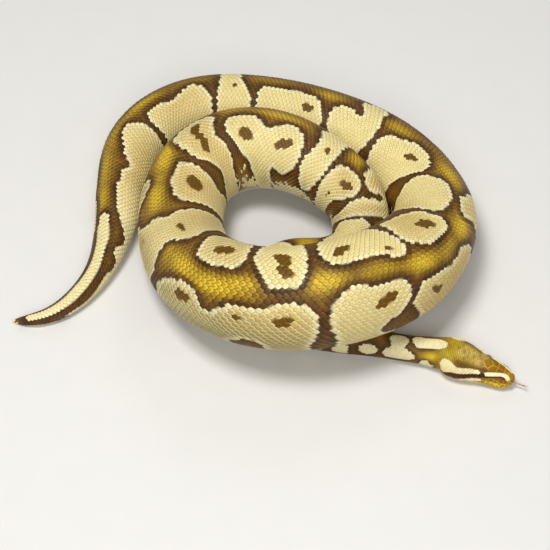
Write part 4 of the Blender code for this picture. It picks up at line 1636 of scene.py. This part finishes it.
@dataclass
class BellyPlates:
    """The broad plates under the belly and the paired ones under the tail."""

    coat: ScaleCoat
    # Distance in cm, and space between plates in mm.
    spacing: Sequence = (
        (0, 2.6), (4, 3.4), (11, 4.1), (12.5, 4.6), (25, 5.1), (80, 5.3), (100, 4.9), (113, 3.7),
        (115, 3.4),
    )
    # Each corner of a plate's section: share of its space towards the tail, share of
    # its depth below its top, and how much it counts as an edge.
    section: Sequence = (
        (-0.60, 0.72, 0.9), (-0.1, 0.34, 0.0), (0.42, 0.02, 0.35), (0.54, 0.12, 0.9),
        (0.56, 0.34, 1.0), (0.46, 0.52, 1.0), (-0.58, 1.05, 1.0),
    )
    across_count: int = 16
    grid_step: float = 0.5 * MM
    pairs_until: float = 120.0 * MM
    # Angles in degrees: how far the plates reach under the scales, how narrow they
    # may get, and half the gap between the two of a pair.
    overlap: float = 3.5
    least_half: float = 8.0
    pair_gap: float = 0.6

    def bands(self) -> Array:
        """Lays out the plates.

        Returns:
            The distance of each plate's middle, and the angles of its two ends.
        """
        grid = np.arange(3 * MM, self.coat.shape.line.length + 5 * MM, self.grid_step)
        count = running(self.grid_step / (read_table(self.spacing, grid[:-1] / CM) * MM))
        bands = []
        for middle in np.interp(np.arange(0, count[-1]), count, grid):
            half = float(self.coat.belly_half(middle)) + self.overlap
            if half < self.least_half:
                continue
            if middle < self.pairs_until:
                bands += [(middle, -half, -self.pair_gap), (middle, self.pair_gap, half)]
            else:
                bands.append((middle, -half, half))
        return np.array(bands)

    def build(self) -> Piece:
        """Builds the belly plates.

        Returns:
            Their mesh object.
        """
        coat, bands = self.coat, self.bands()
        middle, first, last = (one[:, None, None] for one in bands.T)
        back, below, edge = np.array(self.section).T
        share = np.linspace(0, 1, self.across_count)[None, :, None]
        from_middle = np.abs(2 * share - 1)
        space = read_table(self.spacing, middle / CM) * MM
        distance = middle - back * space * (1 - 0.55 * from_middle ** 6)
        from_back = math.pi + np.radians(first + (last - first) * share) * np.ones_like(distance)
        end_drop = 0.35 * from_middle ** 8
        height = -(below * (1 - end_drop) + end_drop) * coat.plan.depth(middle) - 0.01 * MM
        distance, from_back = distance.ravel(), from_back.ravel()
        angle = coat.pattern.angle(distance, from_back)
        points = coat.shape.place(distance, angle, height.ravel())
        number, size = len(bands), self.across_count * len(back)
        values = coat.marks(np.repeat(bands[:, 0], size), angle, False)
        values["mark_belly"] = np.maximum(values["mark_belly"], 0.75)
        values[SkinMap.TONE] = np.repeat(np.random.default_rng(8).uniform(-1, 1, number), size)
        values[SkinMap.EDGE] = np.tile(edge, number * self.across_count)
        values[SkinMap.FREE] = np.tile(back / back.max(), number * self.across_count)
        corner = np.arange(len(back))
        ends = np.vstack((corner, size - len(back) + corner[::-1]))
        faces = repeated((ring_quads(self.across_count, len(back)), ends), number, size)
        around = np.clip(0.5 + (from_back - math.pi) / (2 * math.pi), 0, 1)
        flat = np.column_stack((distance / coat.shape.length, around))
        return link_mesh("belly_plates", points, faces, flat, values)


# Eyes, tongue and spurs.
class Side(IntEnum):
    """The animal's left and right, as the sign of a place across it."""

    LEFT = 1
    RIGHT = -1


@dataclass
class Eye:
    """One glossy eye with an upright slit pupil, sunk in its socket."""

    plates: HeadPlates
    side: Side
    rings: int = 26
    columns: int = 40
    slit: tuple[float, float] = (0.20, 0.95)

    def build(self) -> Piece:
        """Builds the eye.

        Returns:
            Its mesh object, with values for the pupil and the iris.
        """
        forward = unit(self.plates.looks * (1, self.side, 1))
        up = unit(np.array((0.0, 0.0, 1.0)) - forward * forward[2])
        axes = np.array((np.cross(up, forward), up, forward))
        tilt = np.linspace(0, math.pi, self.rings + 2)[1:-1]
        turn = np.linspace(0, 2 * math.pi, self.columns, endpoint=False)
        out, spin = np.repeat(tilt, self.columns), np.tile(turn, self.rings)
        local = np.column_stack((np.sin(out) * np.cos(spin), np.sin(out) * np.sin(spin), np.cos(out)))
        local = np.vstack(((0, 0, 1), local, (0, 0, -1)))
        centre = np.array(self.plates.eye) * (1, self.side, 1)
        points = self.plates.shape.head.to_world((centre + local @ axes * self.plates.eye_radius) * MM)
        ring = np.arange(self.columns)
        back = fan(len(points) - 1, ring + len(points) - 1 - self.columns)[:, (0, 2, 1)]
        faces = [ring_quads(self.rings, self.columns, 1), np.vstack((fan(0, 1 + ring), back))]
        wide, tall = self.slit
        slit = np.sqrt((local[:, 0] / wide) ** 2 + (local[:, 1] / tall) ** 2)
        values = {"eye_pupil": ease(1.25, 0.9, slit) * (local[:, 2] > 0),
                  "eye_iris": ease(0.5, 0.95, local[:, 2])}
        return link_mesh(f"eye_{self.side.name.lower()}_ball", points, faces, None, values)


def swept_tube(path: Array, radii: Array, sides: int, flatness: float = 1.0) -> tuple[Array, list[Array]]:
    """Makes a tube along a path, closed by a point at each end.

    Args:
        path: Points of its middle line.
        radii: Its radius at each.
        sides: Corners round it.
        flatness: Its height over its width.

    Returns:
        Its points and its faces.
    """
    ahead = unit(np.gradient(path, axis=0))
    across = unit(np.cross((0.0, 0.0, 1.0), ahead))
    rise = np.cross(ahead, across)
    turn = np.linspace(0, 2 * math.pi, sides, endpoint=False)[None, :, None]
    ring = across[:, None] * np.cos(turn) + rise[:, None] * np.sin(turn) * flatness
    points = (path[:, None] + ring * radii[:, None, None]).reshape(-1, 3)
    start, end = path[0] - ahead[0] * radii[0] * 0.5, path[-1] + ahead[-1] * radii[-1] * 0.8
    corner, count = np.arange(sides), len(points)
    caps = np.vstack((fan(count, corner)[:, (0, 2, 1)], fan(count + 1, count - sides + corner)))
    return np.vstack((points, start, end)), [ring_quads(len(path), sides)[:, (0, 3, 2, 1)], caps]


@dataclass
class Tongue:
    """The forked tongue, just out of the lips."""

    head: HeadShape
    radius: float = 0.5 * MM
    root: float = 44.0 * MM
    fork: float = 53.0 * MM
    reach: float = 57.5 * MM
    spread: float = 0.9 * MM
    height: float = 5.3 * MM
    droop: float = 0.9 * MM
    parting: float = 0.16 * MM
    steps: int = 36
    sides: int = 14
    flatness: float = 0.72

    def half_path(self, side: Side) -> tuple[Array, Array]:
        """Draws one half, from the root to its tip.

        Args:
            side: Which half it is.

        Returns:
            Its middle line and its radii.
        """
        share = np.linspace(0, 1, self.steps)
        along = self.root + (self.reach - self.root) * share
        out = np.maximum(0, (along - self.fork) / (self.reach - self.fork))
        across = side * (self.spread * out ** 1.3 + self.parting * (1 - out))
        path = np.column_stack((along, across, self.height - self.droop * share ** 2))
        return self.head.to_world(path), self.radius * (0.92 - 0.25 * share - 0.42 * out)

    def build(self) -> Piece:
        """Builds the tongue from its two halves.

        Returns:
            Its mesh object.
        """
        tubes = [swept_tube(*self.half_path(side), self.sides, self.flatness) for side in Side]
        points = np.vstack([points for points, _ in tubes])
        return link_mesh("tongue_forked", points, repeated(tubes[0][1], 2, len(points) // 2))


@dataclass
class Spur:
    """One of the two small claws beside the vent, curved back along the tail."""

    shape: OuterShape
    side: Side
    at: float = 123.0 * MM
    length: float = 4.6 * MM
    radius: float = 1.1 * MM
    bow: float = 0.55 * MM
    tuck: float = 0.4 * MM
    steps: int = 16
    sides: int = 20

    def build(self) -> Piece:
        """Builds the spur.

        Returns:
            Its mesh object.
        """
        centre, side, up, ahead, radius = (values[0] for values in self.shape.line.at(np.array([self.at])))
        side = side * self.side
        middle = centre + side * (radius * 0.915 + self.radius) - up * radius * 0.55
        back = unit(side * 0.25 - ahead)
        share = np.linspace(0, 1, self.steps)[:, None]
        bend = self.bow * (1 - (2 * share - 1) ** 2) - self.tuck
        path = middle + back * (share - 0.5) * self.length + side * bend
        share = share[:, 0]
        radii = self.radius * (1 - 0.82 * share ** 1.4) * np.sqrt(np.clip(share * 9 + 0.35, 0, 1))
        points, faces = swept_tube(path, radii, self.sides)
        values = {"horn_along": np.append(np.repeat(share, self.sides), (0.0, 1.0))}
        return link_mesh(f"spur_{self.side.name.lower()}_claw", points, faces, None, values)


# The finishes.
def linear(colour: Colour) -> tuple[float, float, float, float]:
    """Turns a colour into the light values that shaders take.

    Args:
        colour: Red, green and blue in 0 to 255 steps.

    Returns:
        Red, green, blue and 1, in shares of full light.
    """
    shares = [step / 255 for step in colour]
    light = [share / 12.92 if share <= 0.04045 else ((share + 0.055) / 1.055) ** 2.4 for share in shares]
    return (*light, 1.0)


class Board:
    """A node tree being wired, for a material or a shared effect."""

    def __init__(self, tree: bpy.types.NodeTree) -> None:
        """Takes the tree to add nodes to."""
        self.tree = tree

    def add(self, kind: str, settings: dict | None = None, inputs: dict | None = None) -> bpy.types.Node:
        """Adds a node.

        Args:
            kind: Its Blender type.
            settings: Its own properties, by name.
            inputs: A plain value or a socket for each named or numbered input.

        Returns:
            The node.
        """
        node = self.tree.nodes.new(kind)
        for key, choice in (settings or {}).items():
            setattr(node, key, choice)
        for key, given in (inputs or {}).items():
            if isinstance(given, Socket):
                self.tree.links.new(given, node.inputs[key])
            else:
                node.inputs[key].default_value = given
        return node

    def carried(self, name: str) -> Socket:
        """A number that the mesh carries."""
        return self.add("ShaderNodeAttribute", {"attribute_name": name}).outputs["Fac"]

    def sum(self, operation: str, first: Given, second: Given, clamped: bool = False) -> Socket:
        """The result of one sum on two values, kept from 0 to 1 where it is clamped."""
        settings = {"operation": operation, "use_clamp": clamped}
        return self.add("ShaderNodeMath", settings, {0: first, 1: second}).outputs[0]

    def plus(self, first: Given, second: Given, clamped: bool = False) -> Socket:
        """One value plus another."""
        return self.sum("ADD", first, second, clamped)

    def times(self, first: Given, second: Given, clamped: bool = False) -> Socket:
        """One value times another."""
        return self.sum("MULTIPLY", first, second, clamped)

    def ramp(self, given: Given, low: float, high: float, start: float = 0.0, end: float = 1.0) -> Socket:
        """A value moved smoothly from one range, low to high, into another, start to end."""
        inputs = dict(enumerate((given, low, high, start, end)))
        return self.add("ShaderNodeMapRange", {"interpolation_type": "SMOOTHSTEP"}, inputs).outputs[0]

    def mix(self, share: Given, first: Given, second: Given, blend: str = "MIX") -> Socket:
        """A mix of two colours, by the share of the second."""
        settings = {"data_type": "RGBA", "blend_type": blend}
        return self.add("ShaderNodeMix", settings, {0: share, 6: first, 7: second}).outputs[2]

    def noise(self, size: float, detail: float = 2.0) -> Socket:
        """Makes noise.

        Args:
            size: About how large its features are.
            detail: How much finer noise is in it.

        Returns:
            The noise, about 0.5 on average.
        """
        place = self.add("ShaderNodeTexCoord").outputs["Object"]
        inputs = {"Vector": place, "Scale": 1 / size, "Detail": detail}
        return self.add("ShaderNodeTexNoise", None, inputs).outputs["Fac"]

    def bump(self, height: Socket, strength: float, depth: float) -> Socket:
        """The slope of a surface with small bumps."""
        inputs = {"Height": height, "Strength": strength, "Distance": depth}
        return self.add("ShaderNodeBump", None, inputs).outputs["Normal"]

    def surface(self, inputs: dict) -> None:
        """Ends a material's tree in one surface with these inputs."""
        shader = self.add("ShaderNodeBsdfPrincipled", None, inputs)
        self.add("ShaderNodeOutputMaterial", None, {"Surface": shader.outputs["BSDF"]})


def new_material(name: str) -> tuple[Material, Board]:
    """Starts a material.

    Args:
        name: Its name.

    Returns:
        The material and the empty board of its nodes.
    """
    material = bpy.data.materials.new(name)
    material.use_nodes = True
    material.node_tree.nodes.clear()
    return material, Board(material.node_tree)


@dataclass(frozen=True)
class HideColours:
    """The python's colours, in 0 to 255 steps."""

    dark: Colour = (62, 37, 14)
    brown: Colour = (108, 70, 22)
    gold: Colour = (146, 104, 8)
    # Bright gold: the colour of the painted sheen on the back, and part of the painted highlight on the
    # scales' rims.
    glow: Colour = (236, 198, 36)
    cream: Colour = (243, 225, 154)
    tan: Colour = (204, 170, 92)
    # Olive grey, also the tint of the painted shade on the blotches.
    olive: Colour = (126, 118, 58)
    white: Colour = (251, 240, 194)
    spot: Colour = (98, 68, 8)
    belly: Colour = (242, 236, 218)


class HideGroup:
    """The shared effect that turns the marks carried by a mesh into hide colours."""

    name = "hide_markings"
    colours = tuple(one.name.title() for one in fields(HideColours))
    numbers = ("Edge Dark", "Edge Light", "Gap Dark", "Mottle")

    def __init__(self) -> None:
        """Builds the group once."""
        self.tree = bpy.data.node_groups.new(self.name, "ShaderNodeTree")
        for way, kind, keys in (("INPUT", "Color", self.colours), ("INPUT", "Float", self.numbers),
                                ("OUTPUT", "Color", ["Color"]), ("OUTPUT", "Float", ["Roughness", "Height"])):
            for key in keys:
                self.tree.interface.new_socket(key, in_out=way, socket_type=f"NodeSocket{kind}")
        self.wire(Board(self.tree))

    def wire(self, board: Board) -> None:
        """Wires the ground, the blotches and what lies over both.

        Args:
            board: The group's own board.
        """
        given = board.add("NodeGroupInput").outputs
        mark = {one.name: board.carried(f"mark_{one.name}") for one in fields(Marks)}
        tone, edge, free = (board.carried(key) for key in (SkinMap.TONE, SkinMap.EDGE, SkinMap.FREE))
        warm, glow = mark["warm"], mark["glow"]
        fine = board.noise(1.1 * MM)
        mottle = board.times(board.sum("SUBTRACT", board.noise(9 * MM, 3.0), 0.5), given["Mottle"])
        shift = board.plus(board.times(tone, 0.16), mottle)
        # The rim of each scale, except at its front: paler in colour, and lit by a painted highlight.
        pale_lit_rim = board.times(board.ramp(edge, 0.36, 0.72), board.ramp(free, -0.9, -0.2))
        core = board.ramp(edge, 0.45, 0.0)
        # Painted shade: the front of each scale, which shows just past the free edge of the scale before it,
        # is darkened as if in that scale's shadow.
        shade = board.times(board.ramp(free, 0.05, -0.6), given["Edge Dark"])

        lighter = board.plus(board.plus(shift, 0.5), board.sum("MINIMUM", warm, 0.0), True)
        ground = board.mix(lighter, given["Dark"], given["Brown"])
        ground = board.mix(board.times(warm, board.plus(shift, 0.86, True), True), ground, given["Gold"])
        # Painted sheen: bright gold where the light falls along the back.
        ground = board.mix(board.times(glow, 0.9, True), ground, given["Glow"])
        ground = board.mix(board.times(board.times(core, 0.6), warm, True), ground, given["Brown"])
        # Painted highlight on the scales' pale rims, strongest on the gold ground.
        lit = board.times(given["Edge Light"], board.plus(board.times(warm, 0.85, True), 0.15))
        bright = board.mix(glow, given["Tan"], board.mix(0.4, given["Glow"], given["Cream"]))
        ground = board.mix(board.times(pale_lit_rim, lit), ground, bright)
        gap = board.times(board.ramp(edge, 0.25, 0.7), given["Gap Dark"])
        # Painted shade at the front of each scale on the ground, together with the darker gaps between small
        # scales.
        ground = board.mix(board.sum("MAXIMUM", board.times(shade, 0.5), gap), ground, given["Dark"])

        tan = board.plus(mark["tan"], board.times(shift, 0.55))
        # The same strength also gives each scale of a blotch a tanner centre.
        tan = board.plus(tan, board.times(core, board.times(given["Edge Dark"], 0.9)), True)
        blotch = board.mix(tan, given["Cream"], given["Tan"])
        # Olive patches, partly painted shade where less light falls.
        blotch = board.mix(mark["olive"], blotch, given["Olive"])
        # The blotches' own white border, and the painted highlight on each scale's pale rim.
        rim = board.plus(board.times(mark["rim"], 0.55), board.times(pale_lit_rim, given["Edge Light"]), True)
        blotch = board.mix(rim, blotch, given["White"])
        # Painted shade at the front of each scale in the blotches, tinted olive.
        blotch = board.mix(board.times(shade, 0.3), blotch, given["Olive"])

        colour = board.mix(mark["pale"], ground, blotch)
        # Dark spots, with their pale rims turned gold by the painted highlight.
        colour = board.mix(mark["spot"], colour, board.mix(pale_lit_rim, given["Spot"], given["Gold"]))
        colour = board.mix(mark["belly"], colour, given["Belly"])
        level = board.times(board.ramp(fine, 0.35, 0.65, 0.9, 1.05), board.plus(board.times(tone, 0.05), 1.0))
        grey = board.add("ShaderNodeCombineColor", None, {0: level, 1: level, 2: level}).outputs[0]
        colour = board.mix(1.0, colour, grey, "MULTIPLY")
        rough = board.plus(board.ramp(fine, 0.3, 0.7, 0.36, 0.50), board.times(edge, 0.06))
        grain = board.noise(0.25 * MM)
        board.add("NodeGroupOutput", None, {"Color": colour, "Roughness": rough, "Height": grain})


@dataclass(frozen=True)
class HideFinish:
    """The satin finish of the skin or of one kind of scale."""

    name: str
    colours: HideColours = HideColours()
    # How dark the painted shade at the front of each scale is, and how tan a blotch scale's centre is.
    edge_dark: float = 0.7
    # How strongly the painted highlight lights the scales' pale rims.
    edge_light: float = 0.75
    gap_dark: float = 0.0
    mottle: float = 1.0
    grain: float = 0.12
    coat: float = 0.03

    def make(self, group: HideGroup) -> Material:
        """Makes the material.

        Args:
            group: The shared hide effect.

        Returns:
            The material.
        """
        material, board = new_material(self.name)
        inputs = {key: linear(getattr(self.colours, key.lower())) for key in group.colours}
        inputs |= {key: getattr(self, key.lower().replace(" ", "_")) for key in group.numbers}
        hide = board.add("ShaderNodeGroup", {"node_tree": group.tree}, inputs).outputs
        board.surface({"Base Color": hide["Color"], "Roughness": hide["Roughness"],
                       "Normal": board.bump(hide["Height"], self.grain, 0.1 * MM),
                       "Coat Weight": self.coat, "Coat Roughness": 0.3, "Specular IOR Level": 0.2})
        return material


@dataclass(frozen=True)
class EyeFinish:
    """Wet, nearly black, with a dim bronze iris."""

    pupil: Colour = (5, 4, 4)
    iris: Colour = (70, 52, 26)
    edge: Colour = (16, 12, 9)

    def make(self) -> Material:
        """Makes the material.

        Returns:
            The material.
        """
        material, board = new_material("python_eye")
        edge = linear(self.edge)
        fleck = board.ramp(board.noise(0.35 * MM, 3.0), 0.35, 0.65, 0.25, 0.9)
        iris = board.mix(fleck, edge, linear(self.iris))
        colour = board.mix(board.carried("eye_iris"), edge, iris)
        colour = board.mix(board.carried("eye_pupil"), colour, linear(self.pupil))
        board.surface({"Base Color": colour, "Roughness": board.ramp(fleck, 0.2, 0.9, 0.06, 0.1),
                       "Coat Weight": 0.35, "Coat Roughness": 0.03, "IOR": 1.38})
        return material


@dataclass(frozen=True)
class SoftFinish:
    """A small plain part with two mixed tones, such as the tongue or a claw."""

    name: str
    first: Colour
    second: Colour
    size: float
    roughness: float
    soft: float = 0.0
    along: str = ""

    def make(self) -> Material:
        """Makes the material.

        Returns:
            The material.
        """
        material, board = new_material(self.name)
        noise = board.noise(self.size, 3.0)
        share = board.ramp(noise, 0.3, 0.7)
        if self.along:
            share = board.plus(board.times(share, 0.35), board.times(board.carried(self.along), 0.75), True)
        board.surface({
            "Base Color": board.mix(share, linear(self.first), linear(self.second)),
            "Normal": board.bump(noise, 0.3, 0.05 * MM),
            "Roughness": board.ramp(noise, 0.3, 0.7, self.roughness - 0.05, self.roughness + 0.05),
            "Subsurface Weight": self.soft, "Subsurface Radius": (0.6 * MM, 0.3 * MM, 0.2 * MM),
            "Subsurface Scale": 1.0})
        return material


# The stage.
@dataclass
class Studio:
    """A pale floor, soft lights and the camera."""

    target: Triple = (0.00544, -0.02955, 0.0)
    elevation: float = math.radians(50)
    away: float = 1.3
    lens: float = 128.93
    floor_size: float = 6.0
    floor_colour: Colour = (226, 224, 220)
    fill: float = 0.27
    # Each light's name, place, size and power.
    lights: Sequence = (
        ("key_light", (-0.25, -0.3, 1.4), 0.45, 14.5),
        ("front_light", (0.0, -1.1, 0.9), 0.5, 5.0),
        ("back_light", (0.4, 0.95, 1.1), 0.6, 2.0),
        ("side_light", (1.2, -0.5, 0.7), 0.8, 1.2),
    )

    def build(self) -> None:
        """Builds the floor, the lights and the camera."""
        scene = bpy.context.scene
        scene.view_settings.view_transform = "Standard"
        self.build_floor()
        self.build_world()
        for name, place, size, power in self.lights:
            light = bpy.data.lights.new(name, "AREA")
            light.energy, light.size = power, size
            self.hang(name, light, Vector(place) - Vector(self.target))
        camera = bpy.data.cameras.new("camera")
        camera.lens = self.lens
        back = Vector((0, -math.cos(self.elevation), math.sin(self.elevation)))
        scene.camera = self.hang("camera", camera, back * self.away)

    def hang(self, name: str, thing: bpy.types.ID, from_target: Vector) -> Piece:
        """Hangs a light or the camera, facing the animal.

        Args:
            name: The object's name.
            thing: The light or camera itself.
            from_target: Its place, from the middle of the animal.

        Returns:
            The object, linked into the scene.
        """
        hung = bpy.data.objects.new(name, thing)
        hung.location = Vector(self.target) + from_target
        hung.rotation_euler = from_target.to_track_quat("Z", "Y").to_euler()
        bpy.context.scene.collection.objects.link(hung)
        return hung

    def build_floor(self) -> None:
        """Lays the pale floor."""
        corners = np.array(((-1, -1, 0), (1, -1, 0), (1, 1, 0), (-1, 1, 0))) * self.floor_size / 2
        floor = link_mesh("floor", corners, [np.array(((0, 1, 2, 3),))])
        material, board = new_material("floor_card")
        low = linear(tuple(step - 4 for step in self.floor_colour))
        colour = board.mix(board.noise(0.02, 3.0), low, linear(self.floor_colour))
        board.surface({"Base Color": colour, "Roughness": 0.85})
        floor.data.materials.append(material)

    def build_world(self) -> None:
        """Fills the shadows with soft white light."""
        world = bpy.data.worlds.new("soft_room")
        world.use_nodes = True
        background = world.node_tree.nodes["Background"]
        background.inputs["Color"].default_value = (1.0, 0.99, 0.97, 1.0)
        background.inputs["Strength"].default_value = self.fill
        bpy.context.scene.world = world


class BallPython:
    """The whole animal: its shape, skin, coat and small parts."""

    trunks = 11

    def __init__(self) -> None:
        """Works out the shape, the coat's plan and the markings."""
        line = BodyLine()
        self.shape = OuterShape(line, HeadShape(line))
        self.plates = HeadPlates(self.shape)
        self.hide = (self.shape, CoatPlan(), self.plates, Pattern(self.shape), HeadPattern(self.shape))
        self.group = HideGroup()

    def keep(self, piece: Piece, material: Material, slot: str, *nodes: str) -> None:
        """Dresses a piece and ties it to the body.

        Args:
            piece: The piece.
            material: Its material.
            slot: The name of its slot; not used.
            nodes: The parts that it stands for.
        """
        piece.data.materials.append(material)
        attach(piece, "root")
        if nodes:
            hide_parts(*nodes)
        LOG.info("%s: %d faces", piece.name, len(piece.data.polygons))

    def build(self) -> None:
        """Builds every piece."""
        flesh = ["head", "lower_jaw", "neck", "tail"]
        flesh += [f"trunk_{number:02d}" for number in range(1, self.trunks + 1)]
        face = HideColours(gold=(160, 112, 6), tan=(206, 172, 84), brown=(118, 72, 10))
        neck = HideColours(gold=(198, 156, 18), glow=(248, 222, 44), tan=(236, 202, 104),
                           brown=(130, 86, 18), olive=(164, 128, 40))
        skin = HideFinish("python_skin", face, edge_dark=0.0, edge_light=0.32, mottle=0.8)
        self.keep(Skin(*self.hide).build(), skin.make(self.group), "scales", *flesh)
        coat = ScaleCoat(*self.hide)
        scales = HideFinish("python_scales").make(self.group)
        *body, crown = coat.build()
        for piece in body:
            self.keep(piece, scales, "scales")
        small = HideFinish("python_head_scales", neck, edge_dark=1.1, edge_light=0.0, gap_dark=0.8)
        self.keep(crown, small.make(self.group), "head_skin")
        belly = HideFinish("python_belly_plates", edge_dark=0.12, mottle=0.5, coat=0.12)
        self.keep(BellyPlates(coat).build(), belly.make(self.group), "scales")
        self.build_small_parts()

    def build_small_parts(self) -> None:
        """Builds the eyes, the tongue and the spurs."""
        wet = EyeFinish().make()
        horn = SoftFinish("python_claw", (96, 74, 46), (214, 196, 150), 1.5 * MM, 0.38,
                          along="horn_along").make()
        for side in Side:
            name = side.name.lower()
            self.keep(Eye(self.plates, side).build(), wet, "eye", f"eye_{name}")
            self.keep(Spur(self.shape, side).build(), horn, "claw", f"spur_{name}")
        pink = SoftFinish("python_tongue", (150, 104, 108), (206, 160, 158), 1.2 * MM, 0.3, 0.2).make()
        self.keep(Tongue(self.shape.head).build(), pink, "tongue", "tongue")


def main() -> None:
    """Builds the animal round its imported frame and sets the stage."""
    logging.basicConfig(level=logging.INFO, format="%(message)s")
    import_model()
    BallPython().build()
    Studio().build()


if __name__ == "__main__":
    main()
